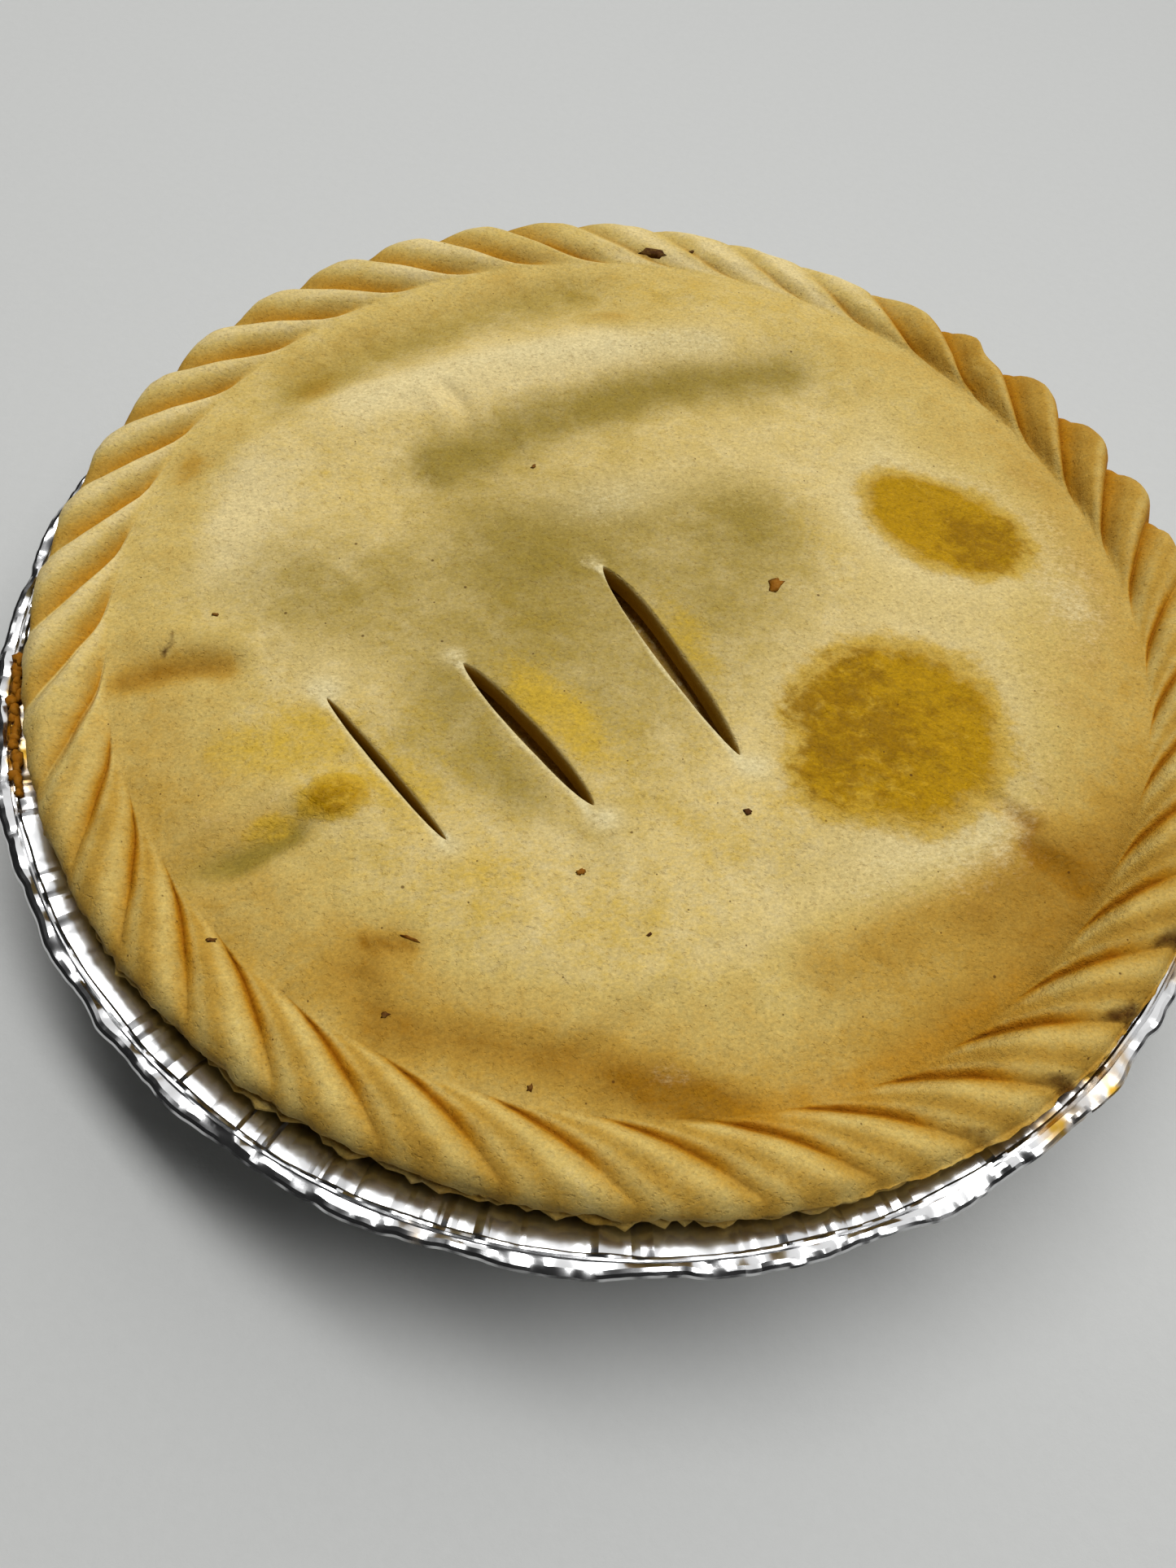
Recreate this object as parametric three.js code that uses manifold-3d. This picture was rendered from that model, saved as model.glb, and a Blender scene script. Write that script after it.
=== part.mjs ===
// A meat and potato pie, baked in its pressed aluminium foil dish.
// Four solids: the foil dish, the pastry case, the filling and the slit lid with its rope-crimped rim.
// Millimetres, +Z up, origin at the centre of the dish's base; -Y is the front. Angles run from +X
// towards +Y, in degrees.

import * as THREE from 'three';
import { mergeVertices } from 'three/addons/utils/BufferGeometryUtils.js';
import Module from 'manifold-3d';

const wasm = await Module();
wasm.setup();

// ---- driving dimensions ----

const GAP = 0.35; // clearance between two pieces that rest on each other

// Foil dish: a sloping wall between a flat base and a flared rim with a crumpled hem.
const FOIL = 0.6; // wall, with its pleats pressed flat
const FOOT_R = 84.5; // where the wall's slope meets the table
const CREASE_R = 108.7; // top of the wall
const CREASE_Z = 28.4;
const HEM_R = 112; // outer edge of the rim
const HEM_THICK = 1.6; // foil folded over on itself
const CORNER = 5; // radius between base and wall
const FLARE = 0.34; // share of the wall's lean that comes at its top, where it turns out to the rim
const FLARE_POWER = 12;
const DISH_COLUMNS = 136;
const PLEAT_DEPTH = 0.5;
const PLEATS = DISH_COLUMNS / 2;

// Pie: it sits a little to the back of the dish.
const PIE_X = 1.5;
const PIE_Y = 3.5;
const CASE_CLEAR = 4.4; // from the dish's wall to the case, all round
const CRUST = 4; // thickness of the case's base and wall
const CASE_COLUMNS = 60;
const FILLING_COLUMNS = 48;
const LIP_R = 106.3; // edge of the case's rim, under the lid's
const LIP_THICK = 1.5;

// Lid: a domed sheet that ends inside the crimped rim.
const LID_THICK = 4.4;
const LID_EDGE_Z = 34.5; // the sheet's top where the crimps begin
const LID_RISE = 3.2; // its height in the middle above that
const LID_COLUMNS = 60;
const ROPE_IN = 95; // inner and outer radius of the crimped rim
const ROPE_OUT = 108.4;
const ROPE_CREST = 36.2;
const ROPE_UNDER = 30.6;
const HELD_FROM = 92.5; // where the dish begins to hold up the rim's underside
const HELD_TO = 107.5;

// Crimps: pinched one after the other round the rim, each leaning over the next.
const CRIMPS = 40;
const FIRST_CRIMP = 205;
const COLUMNS_PER_CRIMP = 6;
const CRIMP_LEAN = 10.5; // degrees from a groove's inner end to its outer end
const CRIMP_DEPTH = 1.5;

// Steam slits: from one pointed end to the other, and how far the two edges bow out.
const SLITS = [
  { from: [-49, -27.6], to: [-24.7, -51], left: 0.8, right: 0.6 },
  { from: [-27.3, -17.3], to: [-2.1, -41.4], left: 1.6, right: 2.3 },
  { from: [-5.8, 8.5], to: [21.2, -28], left: 2, right: 2.8 },
];
const SLIT_FLOOR = 26; // the slits go on into the filling, down to this height
const CUTTER_HEIGHT = 60;

// ---- rules for the uneven, hand-made shape ----

const rad = THREE.MathUtils.degToRad;
const clamp = THREE.MathUtils.clamp;
const smoothstep = THREE.MathUtils.smoothstep;

// The angle from b to a, between -180 and 180.
function turn(a, b) {
  return ((((a - b) % 360) + 540) % 360) - 180;
}

// A hill of height 1 round the given angle; a higher power gives it a flatter top.
function hill(angle, centre, width, power = 2) {
  return Math.exp(-(Math.abs(turn(angle, centre) / width) ** power));
}

// Radius of the dish's inner wall at a height, if it went on straight.
function straightWall(z) {
  return FOOT_R + ((CREASE_R - FOOT_R) * (1 - FLARE) * z) / CREASE_Z;
}

// The same with the flare at its top.
function wallRadius(z) {
  return straightWall(z) + (CREASE_R - FOOT_R) * FLARE * (z / CREASE_Z) ** FLARE_POWER;
}

// The dish's rim is dented at the front right and bulges up and out at the right.
function hemLift(angle) {
  return 1.2 * hill(angle, 21, 8) - 1.5 * hill(angle, 301, 6) + 0.2 * Math.sin(rad(7 * angle));
}

function hemBulge(angle) {
  return 1.5 * hill(angle, 21, 8) + 0.3 * Math.sin(rad(23 * angle)) + 0.2 * Math.sin(rad(41 * angle));
}

// Height of the pie's rim above its height at the front: high at the back, pressed down front right.
function rimLift(angle) {
  const back = 2.6 * hill(angle, 120, 62, 3);
  const pressed = 4 * hill(angle, 314, 26, 3);
  return back - pressed;
}

// The underside of the rim follows a rise only in part. A dip fades out evenly to the outer edge,
// which the dish's rim holds up.
function underLift(angle, share, radius) {
  const held = clamp((radius - HELD_FROM) / (HELD_TO - HELD_FROM), 0, 1);
  const dip = Math.min(rimLift(angle), 0) * (1 - 0.7 * held);
  return dip + share * Math.max(rimLift(angle), 0) + 0.9 * hill(angle, 21, 14);
}

// Outer radius of the crimped rim about the pie's middle, with a torn notch at the back right.
function rimRadius(angle) {
  const wide = 1.1 * hill(angle, 25, 30) + 1.1 * hill(angle, 122, 25) + 0.8 * hill(angle, 315, 22);
  const narrow = 1.9 * hill(angle, 72, 16) + 1.1 * hill(angle, 255, 35) + 3.6 * hill(angle, 49, 2);
  return ROPE_OUT + wide - narrow;
}

// How far each crimp has slipped round from an even spacing.
function crimpDrift(angle) {
  const back = 2.1 * hill(angle, 138, 52) + 0.9 * hill(angle, 80, 30);
  const front = 3.7 * hill(angle, 305, 58, 4) + 0.8 * hill(angle, 266, 14);
  return back + front - 1;
}

// Section across one crimp, from its groove at 0 to the next at 1: two ridges with a soft valley.
function pillow(phase) {
  return Math.sin(Math.PI * phase) ** 0.6 - 0.45 * Math.exp(-(((phase - 0.5) / 0.14) ** 2));
}

// A long low hill along a line from a to b, for the folds of the lid.
function fold(x, y, a, b, width) {
  const dx = b[0] - a[0];
  const dy = b[1] - a[1];
  const t = clamp(((x - a[0]) * dx + (y - a[1]) * dy) / (dx * dx + dy * dy), 0, 1);
  const off = Math.hypot(x - a[0] - t * dx, y - a[1] - t * dy);
  return Math.exp(-((off / width) ** 2));
}

// The lid's sheet: a flat-topped dome, with a trough and a ridge at the back left and soft swells.
function domeHeight(x, y) {
  const r = Math.hypot(x - PIE_X, y - PIE_Y);
  const angle = THREE.MathUtils.radToDeg(Math.atan2(y - PIE_Y, x - PIE_X));
  const dome = LID_EDGE_Z + LID_RISE * (1 - (r / ROPE_IN) ** 4);
  return dome + rimLift(angle) * smoothstep(r, 45, ROPE_IN);
}

function lidRelief(x, y) {
  const trough = 2.1 * fold(x, y, [-70, 42], [-26, 78], 12);
  const ridge = 1.3 * fold(x, y, [-50, 28], [26, 72], 13);
  const blister = 0.9 * fold(x, y, [-62, -58], [-42, -46], 6);
  const dent = 0.8 * fold(x, y, [-84, -24], [-70, -20], 6);
  const sunk = 0.7 * fold(x, y, [48, -17], [54, -17], 17) + 0.6 * fold(x, y, [58, 31], [62, 31], 14);
  return ridge - trough + blister - dent - sunk;
}

// ---- making closed meshes ----

// Joins the seam and the poles, drops triangles without area, and turns the faces outwards.
function weld(geometry) {
  geometry.deleteAttribute('normal');
  geometry.deleteAttribute('uv');
  const welded = mergeVertices(geometry, 1e-4);
  const index = Array.from(welded.index.array);
  const kept = [];
  for (let i = 0; i < index.length; i += 3) {
    const [a, b, c] = index.slice(i, i + 3);
    if (a !== b && b !== c && c !== a) {
      kept.push(a, b, c);
    }
  }
  welded.setIndex(kept);
  return faceOutwards(welded);
}

function faceOutwards(geometry) {
  const at = (i) => new THREE.Vector3().fromBufferAttribute(geometry.attributes.position, i);
  const index = Array.from(geometry.index.array);
  let volume = 0;
  for (let i = 0; i < index.length; i += 3) {
    volume += at(index[i]).dot(at(index[i + 1]).cross(at(index[i + 2])));
  }
  if (volume < 0) {
    index.reverse();
    geometry.setIndex(index);
  }
  return geometry;
}

// Turns a profile of [radius, height] points about the upright axis. The place function then moves
// each point from its even place (angle, radius, height) to its own [x, y, z].
function revolve(profile, columns, place) {
  const points = profile.map(([r, z]) => new THREE.Vector2(r, z));
  const geometry = weld(new THREE.LatheGeometry(points, columns).rotateX(Math.PI / 2));
  const position = geometry.attributes.position;
  for (let i = 0; i < position.count; i += 1) {
    const x = position.getX(i);
    const y = position.getY(i);
    const angle = THREE.MathUtils.radToDeg(Math.atan2(y, x));
    position.setXYZ(i, ...place(angle, Math.hypot(x, y), position.getZ(i)));
  }
  return faceOutwards(geometry);
}

function polar(centreX, centreY, angle, radius, z) {
  return [centreX + radius * Math.cos(rad(angle)), centreY + radius * Math.sin(rad(angle)), z];
}

// Moves a point of the pie that would touch the dish's wall back inside it.
function insideDish([x, y, z]) {
  const angle = THREE.MathUtils.radToDeg(Math.atan2(y, x));
  const hemTop = CREASE_Z + HEM_THICK / 2 + hemLift(angle);
  const radius = Math.hypot(x, y);
  const limit = wallRadius(Math.min(z, CREASE_Z)) - PLEAT_DEPTH - GAP - 0.3;
  if (z > hemTop + GAP || radius < limit) {
    return [x, y, z];
  }
  return [(x * limit) / radius, (y * limit) / radius, z];
}

function toSolid(geometry) {
  const mesh = new wasm.Mesh({
    numProp: 3,
    vertProperties: new Float32Array(geometry.attributes.position.array),
    triVerts: new Uint32Array(geometry.index.array),
  });
  return new wasm.Manifold(mesh);
}

function toGeometry(solid) {
  const mesh = solid.getMesh();
  const geometry = new THREE.BufferGeometry();
  geometry.setAttribute('position', new THREE.BufferAttribute(mesh.vertProperties, 3));
  geometry.setIndex(new THREE.BufferAttribute(mesh.triVerts, 1));
  return geometry;
}

// ---- the pieces ----

function foilDish() {
  const cornerRun = CORNER * 0.45;
  const wallOuter = FOIL * 1.3;
  const midWall = CREASE_Z * 0.5;
  const highWall = CREASE_Z * 0.93;
  const profile = [
    [0, FOIL],
    [FOOT_R - CORNER, FOIL],
    [wallRadius(cornerRun), cornerRun + FOIL * 0.6],
    [wallRadius(midWall), midWall],
    [wallRadius(highWall), highWall],
    [CREASE_R, CREASE_Z],
    [CREASE_R + 0.9, CREASE_Z + HEM_THICK / 2],
    [HEM_R, CREASE_Z + HEM_THICK * 0.35],
    [HEM_R - 0.2, CREASE_Z - HEM_THICK / 2],
    [CREASE_R + wallOuter, CREASE_Z - HEM_THICK * 0.8],
    [wallRadius(highWall) + wallOuter, highWall],
    [wallRadius(midWall) + wallOuter, midWall],
    [wallRadius(cornerRun) + wallOuter, cornerRun],
    [FOOT_R - CORNER, 0],
    [0, 0],
  ];
  const place = (angle, radius, z) => {
    const rim = smoothstep(z, CREASE_Z * 0.6, CREASE_Z - 1);
    const hem = smoothstep(radius, CREASE_R + 0.5, HEM_R - 0.5);
    const wall = smoothstep(z, CORNER, CREASE_Z * 0.5) * (1 - hem);
    const pleat = Math.cos(rad(angle * PLEATS)) * (0.6 + 0.4 * Math.sin(rad(9 * angle)));
    const push = (PLEAT_DEPTH * wall * pleat) / 2 + hemBulge(angle) * (hem + rim * hill(angle, 21, 8));
    return polar(0, 0, angle, radius + push, z + hemLift(angle) * rim);
  };
  return revolve(profile, DISH_COLUMNS, place);
}

function caseRadius(z) {
  return straightWall(z) - CASE_CLEAR;
}

function pastryCase() {
  const base = FOIL + GAP;
  const top = ROPE_UNDER - GAP;
  const lipUnder = top - LIP_THICK;
  const wall = CRUST * 1.15;
  const inner = (z) => caseRadius(z) - wall;
  const profile = [
    [0, base],
    [caseRadius(base) - CORNER * 1.2, base],
    [caseRadius(base + CORNER * 0.5), base + CORNER * 0.5],
    [caseRadius(18), 18],
    [caseRadius(lipUnder) - 1, lipUnder - 1],
    [LIP_R - 0.6, lipUnder],
    [LIP_R, (lipUnder + top) / 2],
    [LIP_R - 0.8, top],
    [inner(top), top],
    [inner(18), 18],
    [inner(base + CRUST + 2), base + CRUST + 2],
    [inner(base + CRUST) - 3, base + CRUST],
    [0, base + CRUST],
  ];
  const place = (angle, radius, z) => {
    const lip = smoothstep(z, 20, lipUnder);
    const edge = smoothstep(radius, caseRadius(lipUnder), LIP_R);
    const ragged = 0.35 * Math.sin(rad(31 * angle)) + 0.3 * Math.sin(rad(17 * angle));
    const flake = 1.6 * hill(angle, 246, 2.5);
    const reach = (rimRadius(angle) - ROPE_OUT + ragged + flake) * edge;
    const lift = underLift(angle, 0.55, radius) * lip;
    return insideDish(polar(PIE_X, PIE_Y, angle, radius + reach, z + lift));
  };
  return revolve(profile, CASE_COLUMNS, place);
}

function fillingRadius(z) {
  return caseRadius(z) - CRUST * 1.15 - GAP * 2.2;
}

function filling() {
  const base = FOIL + GAP + CRUST + GAP;
  const edge = ROPE_UNDER - GAP - 1;
  const profile = [
    [0, base],
    [fillingRadius(base) - 4, base],
    [fillingRadius(base + 2.5), base + 2.5],
    [fillingRadius(18), 18],
    [fillingRadius(edge - 2), edge - 2],
    [fillingRadius(edge) - 3, edge],
    [65, edge + 1],
    [35, edge + 1],
    [0, edge + 1],
  ];
  const place = (angle, radius, z) => {
    if (z < edge - 3) {
      return polar(PIE_X, PIE_Y, angle, radius, z);
    }
    const [x, y] = polar(PIE_X, PIE_Y, angle, radius, 0);
    const under = Math.max(domeHeight(x, y) - LID_THICK - GAP - 1, edge - 2);
    return [x, y, z > edge ? under : z + underLift(angle, 0.3, radius) * 0.8];
  };
  return revolve(profile, FILLING_COLUMNS, place);
}

// The lid's sheet: the profile's height is only 0 for its underside and 1 for its top.
function lidSheet() {
  const edge = ROPE_IN + 2.5;
  const top = [0, 20, 36, 49, 60, 70, 79, 87, 93.5, edge];
  const profile = [[0, 0], [48, 0], [84, 0], [edge, 0], ...top.reverse().map((r) => [r, 1])];
  const place = (angle, radius, side) => {
    const [x, y] = polar(PIE_X, PIE_Y, angle, radius, 0);
    const fade = 1 - smoothstep(radius, 84, ROPE_IN);
    const drop = smoothstep(radius, ROPE_IN - 1, edge);
    const upper = domeHeight(x, y) + lidRelief(x, y) * fade - drop;
    const lower = ROPE_UNDER + 0.6 + underLift(angle, 0.6, radius) * smoothstep(radius, 45, 84);
    const raised = Math.max(domeHeight(x, y) - LID_THICK, lower);
    return [x, y, side > 0.5 ? upper : raised * (1 - drop) + (lower + 0.4) * drop];
  };
  return revolve(profile, LID_COLUMNS, place);
}

// The crimped rim: its columns follow the grooves, so each crimp has the same few points across it.
function crimpedRim() {
  const crest = ROPE_CREST;
  const profile = [
    [ROPE_IN + 0.4, ROPE_UNDER],
    [ROPE_IN, crest - 1.9],
    [ROPE_IN + 2.6, crest - 0.5],
    [ROPE_IN + 5.4, crest],
    [ROPE_IN + 8.4, crest - 0.1],
    [ROPE_OUT - 1.9, crest - 1.4],
    [ROPE_OUT, crest - 3.7],
    [ROPE_OUT - 1, ROPE_UNDER],
    [ROPE_IN + 0.4, ROPE_UNDER],
  ];
  const place = (angle, radius, z) => {
    const band = clamp((radius - ROPE_IN) / 9.5, 0, 1);
    const upper = smoothstep(z, 32.6, crest - 1);
    const count = ((turn(angle, FIRST_CRIMP) + 360) % 360) / (360 / CRIMPS);
    const phase = count - Math.floor(count + 1e-6);
    const turned = angle + crimpDrift(angle) + CRIMP_LEAN * band ** 0.667;
    const deep = 1 + 0.7 * hill(turned, 38, 24) + 0.25 * hill(turned, 150, 45);
    const across = smoothstep(radius, ROPE_IN, ROPE_IN + 2.6) * (1 - 0.75 * smoothstep(band, 0.8, 1));
    const relief = CRIMP_DEPTH * deep * (pillow(clamp(phase, 0, 1)) - 0.7) * across * upper;
    const outer = clamp((radius - ROPE_IN) / (ROPE_OUT - ROPE_IN), 0, 1);
    const wavy = 0.3 + hill(turned, 130, 75, 4) + 1.6 * hill(turned, 38, 24);
    const scallop = 0.7 * (pillow(clamp(phase, 0, 1)) - 0.7) * wavy;
    const reach = (rimRadius(turned) - ROPE_OUT + scallop) * outer;
    const lift = rimLift(turned) * upper + underLift(turned, 0.6, radius) * (1 - upper);
    return insideDish(polar(PIE_X, PIE_Y, turned, radius + reach, z + lift + relief));
  };
  return revolve(profile, CRIMPS * COLUMNS_PER_CRIMP, place);
}

// A slit's outline is two bowed edges between two points; the cutter goes right through the lid.
function slitCutter({ from, to, left, right }) {
  const start = new THREE.Vector2(...from);
  const end = new THREE.Vector2(...to);
  const along = end.clone().sub(start);
  const side = new THREE.Vector2(-along.y, along.x).normalize();
  const knot = (t, bow) => start.clone().lerp(end, t).addScaledVector(side, bow);
  const shape = new THREE.Shape();
  shape.moveTo(start.x, start.y);
  const over = [knot(0.25, right * 1.33), knot(0.75, right * 1.33)];
  const back = [knot(0.75, -left * 1.33), knot(0.25, -left * 1.33)];
  shape.bezierCurveTo(...over[0], ...over[1], end.x, end.y);
  shape.bezierCurveTo(...back[0], ...back[1], start.x, start.y);
  const cut = { depth: CUTTER_HEIGHT, bevelEnabled: false, curveSegments: 7 };
  const geometry = new THREE.ExtrudeGeometry(shape, cut);
  return toSolid(weld(geometry.translate(0, 0, SLIT_FLOOR)));
}

// ---- the pie ----

const slits = SLITS.map(slitCutter);
const cutSlits = (solid) => slits.reduce((left, slit) => left.subtract(slit), solid);

const lid = cutSlits(toSolid(lidSheet()).add(toSolid(crimpedRim())));
const stuffing = cutSlits(toSolid(filling()));

const foilFinish = { color: 0xc3c6c8, roughness: 0.28, metalness: 1 };
const crustFinish = { color: 0xd2ad62, roughness: 0.75, metalness: 0 };
const lidFinish = { color: 0xcbb15e, roughness: 0.7, metalness: 0 };
const fillingFinish = { color: 0x5c4420, roughness: 0.4, metalness: 0 };

function piece(name, geometry, finish) {
  const mesh = new THREE.Mesh(geometry, new THREE.MeshStandardMaterial(finish));
  mesh.name = name;
  return mesh;
}

const pie = new THREE.Group();
pie.add(piece('foil_dish', foilDish(), foilFinish));
pie.add(piece('pastry_case', pastryCase(), crustFinish));
pie.add(piece('filling', toGeometry(stuffing), fillingFinish));
pie.add(piece('pastry_lid', toGeometry(lid), lidFinish));

export default pie;
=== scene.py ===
"""A meat and potato pie in its foil dish, dressed for a close look.

The shapes are worked out in millimetres, about the middle of the dish's base, with +Z up and -Y to
the front. Angles run from +X towards +Y, in degrees. Each piece is brought to metres when it is
finished.
"""

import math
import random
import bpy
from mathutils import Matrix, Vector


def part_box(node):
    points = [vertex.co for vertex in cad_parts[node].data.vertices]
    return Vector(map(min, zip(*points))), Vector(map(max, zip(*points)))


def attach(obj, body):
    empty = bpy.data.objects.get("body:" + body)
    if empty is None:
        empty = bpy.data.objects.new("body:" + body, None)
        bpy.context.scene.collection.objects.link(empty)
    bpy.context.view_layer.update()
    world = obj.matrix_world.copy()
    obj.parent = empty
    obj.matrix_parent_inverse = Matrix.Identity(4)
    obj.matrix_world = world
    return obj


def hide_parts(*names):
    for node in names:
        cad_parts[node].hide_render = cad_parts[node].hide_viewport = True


bl_info = {
    "name": "Meat and potato pie",
    "version": (1, 0, 0),
    "blender": (4, 5, 0),
    "location": "3D View > Sidebar > Pie",
    "description": "A slit, rope-crimped pie in a crumpled foil dish",
    "category": "Object",
}

import bmesh
import bpy
import numpy as np
from mathutils import Matrix, Vector, noise

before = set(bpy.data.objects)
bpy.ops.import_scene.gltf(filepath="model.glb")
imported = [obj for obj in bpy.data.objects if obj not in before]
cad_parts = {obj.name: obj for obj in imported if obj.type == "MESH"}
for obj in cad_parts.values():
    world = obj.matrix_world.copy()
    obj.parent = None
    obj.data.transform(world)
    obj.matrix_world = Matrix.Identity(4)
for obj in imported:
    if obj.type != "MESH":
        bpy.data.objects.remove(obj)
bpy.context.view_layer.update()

MM = 0.001
WEDGES = 24  # a round piece is spun as one wedge, then repeated
MERGE = 2e-3  # points nearer than this are joined
AROUND_R = 100.0  # radius of the ring that noise is read from

# ---- driving sizes, in millimetres ----

GAP = 0.35  # clearance between two pieces that rest on each other

# Foil dish
FOOT_R = 84.5
CREASE_R = 108.7
CREASE_Z = 28.4
HEM_R = 112.0
HEM_THICK = 1.6
CORNER = 5.0
FOIL_SHEET = 0.25
FOIL_FLOOR = 0.6  # the dish's floor in the solids, which the case stands on
FOIL_SHARP = 13  # degrees from which a crease stays sharp
FLARE = 0.34  # share of the wall's lean that comes at its top
FLARE_POWER = 12
DISH_COLUMNS = 1440
PLEAT_DEPTH = 0.5

# Pie
PIE_X = 1.5
PIE_Y = 3.5
CASE_CLEAR = 4.4
CRUST = 4.0
CASE_WALL = CRUST * 1.15
CASE_COLUMNS = 480
FILLING_COLUMNS = 240
LIP_R = 106.3
LIP_THICK = 1.5

# Lid
LID_THICK = 4.4
LID_EDGE_Z = 34.5
LID_RISE = 3.2
SHEET_R = 95.0
ROPE_IN = 94.0
ROPE_OUT = 108.4
ROPE_CREST = 36.1
ROPE_UNDER = 30.6
HELD_FROM = 92.5  # where the dish begins to hold up the rim's underside
HELD_TO = 107.5
CASE_TOP = ROPE_UNDER - GAP
FILLING_EDGE = CASE_TOP - 1
EDGE_ROLL = 4.9  # radius of the rim's rounded outer edge
EDGE_MIDDLE = 32.0  # height of that edge's furthest point
CRIMPS = 40
FIRST_CRIMP = 202.0
COLUMNS_PER_CRIMP = 18
CRIMP_DEPTH = 1.5
CRIMP_STEP = 360 / CRIMPS

# Steam slits: end points, how far the front-left and the back-right edge bow out, and how far
# the widest place is moved from the middle to the first end.
SLITS = [
    ((-49.0, -27.4), (-24.8, -50.8), 0.7, 0.5, 0.0),
    ((-27.4, -17.0), (-2.2, -41.2), 1.3, 1.9, 0.0),
    ((-5.8, 8.8), (21.2, -27.8), 1.7, 2.3, 0.25),
]
SLIT_SIDES = 64


# ---- rules for the uneven, hand-made shape ----


def turn(a, b):
    """The angle from b to a, between -180 and 180."""
    return (a - b + 180) % 360 - 180


def hill(angle, centre, width, power=2):
    """A hill of height 1 round an angle; a higher power gives it a flatter top."""
    return np.exp(-np.abs(turn(angle, centre) / width) ** power)


def ease(value, low, high):
    """0 below low, 1 above high and a smooth step between."""
    t = np.clip((value - low) / (high - low), 0, 1)
    return t * t * (3 - 2 * t)


def fold(x, y, path, width):
    """A long hill of height 1 along a path of points."""
    nearest = np.full(np.shape(x), np.inf)
    for (ax, ay), (bx, by) in zip(path, path[1:]):
        dx, dy = bx - ax, by - ay
        t = np.clip(((x - ax) * dx + (y - ay) * dy) / (dx * dx + dy * dy), 0, 1)
        nearest = np.minimum(nearest, np.hypot(x - ax - t * dx, y - ay - t * dy))
    return np.exp(-((nearest / width) ** 2))


def blot(x, y, centre, half, tilt=0.0, power=2):
    """An oval hill of height 1; half is its half width and half height, tilt turns it."""
    c, s = math.cos(math.radians(tilt)), math.sin(math.radians(tilt))
    u = ((x - centre[0]) * c + (y - centre[1]) * s) / half[0]
    v = ((y - centre[1]) * c - (x - centre[0]) * s) / half[1]
    return np.exp(-(np.hypot(u, v) ** power))


def hills(x, y, folds, ovals):
    """The sum of long and oval hills. Each row starts with the hill's own height."""
    total = np.zeros(np.shape(x))
    for height, path, width in folds:
        total += height * fold(x, y, path, width)
    for height, *oval in ovals:
        total += height * blot(x, y, *oval)
    return total


def wander(points, size, seed, octaves=3):
    """Smooth noise of about -1 to 1 with lumps of the given size, at each point."""
    shift = Vector((seed * 17.3, seed * 5.1, seed * 9.7))
    return np.array(
        [noise.fractal(Vector(p) / size + shift, 1.0, 2.0, octaves) for p in points.tolist()]
    )


def around(angle, size, seed, octaves=3):
    """Noise that runs round the rim and closes on itself."""
    a = np.radians(angle)
    ring = np.stack([AROUND_R * np.cos(a), AROUND_R * np.sin(a), np.zeros_like(a)], -1)
    return wander(ring, size, seed, octaves)


def facets(points, size, seed):
    """Crumpled foil: sharp creases between flat facets of about the given size."""
    shift = Vector((seed * 3.7, seed * 11.9, seed * 7.3))
    found = [noise.voronoi(Vector(p) / size + shift)[0] for p in points.tolist()]
    return np.array([near[1] - near[0] for near in found])


def straight_wall(z):
    """Radius of the dish's inner wall at a height, if it went on straight."""
    return FOOT_R + (CREASE_R - FOOT_R) * (1 - FLARE) * z / CREASE_Z


def wall_radius(z):
    """The same with the flare at its top."""
    return straight_wall(z) + (CREASE_R - FOOT_R) * FLARE * (z / CREASE_Z) ** FLARE_POWER


def hem_lift(angle):
    """Rise of the foil's hem: dented at the front right, raised at the right."""
    wave = 0.2 * np.sin(np.radians(7 * angle))
    return 1.2 * hill(angle, 21, 8) - 1.5 * hill(angle, 301, 6) + wave


def hem_bulge(angle):
    """How far the foil's hem reaches out past its even circle."""
    wave = 0.3 * np.sin(np.radians(23 * angle)) + 0.2 * np.sin(np.radians(41 * angle))
    return 1.5 * hill(angle, 21, 8) + wave


def rim_lift(angle):
    """Height of the pie's rim above its front: high at the back, low at the front right."""
    return 2.6 * hill(angle, 120, 62, 3) - 4.0 * hill(angle, 314, 26, 3)


def under_lift(angle, share, radius):
    """How the rim's underside follows its top: a dip fades out where the dish holds it up."""
    lift = rim_lift(angle)
    held = np.clip((radius - HELD_FROM) / (HELD_TO - HELD_FROM), 0, 1)
    dip = np.minimum(lift, 0) * (1 - 0.7 * held)
    return dip + share * np.maximum(lift, 0) + 0.9 * hill(angle, 21, 14)


def rim_radius(angle):
    """Outer radius of the rim about the pie's middle, with a torn notch at the back right."""
    wide = 1.1 * hill(angle, 25, 30) + 1.1 * hill(angle, 122, 25) + 0.8 * hill(angle, 315, 22)
    narrow = 1.9 * hill(angle, 72, 16) + 1.1 * hill(angle, 255, 35) + 3.6 * hill(angle, 49, 2)
    return ROPE_OUT + wide - narrow


def crimp_drift(angle):
    """How far each crimp has slipped round from an even spacing, in degrees."""
    back = 2.1 * hill(angle, 138, 52) + 0.9 * hill(angle, 80, 30)
    front = 3.7 * hill(angle, 305, 58, 4) + 0.8 * hill(angle, 266, 14)
    return 1.7 + back + front


def crimp_lean(band):
    """How far a groove has turned from its inner end, in degrees: it starts along the rim."""
    start = 0.01
    reach = np.minimum(band, 0.9)
    return 17.5 * ((reach + start) ** 0.45 - start**0.45)


def front_pillow(phase, valley):
    """Height across a crimp at the front: a narrow ridge, a soft valley and a broad ridge."""
    arch = np.sin(np.pi * np.clip(phase, 0, 1)) ** 0.75
    broad = 0.5 * np.exp(-(((phase - 0.74) / 0.17) ** 2))
    dip = np.exp(-(((phase - 0.4) / 0.13) ** 2))
    return arch + valley * (broad - dip)


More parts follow.
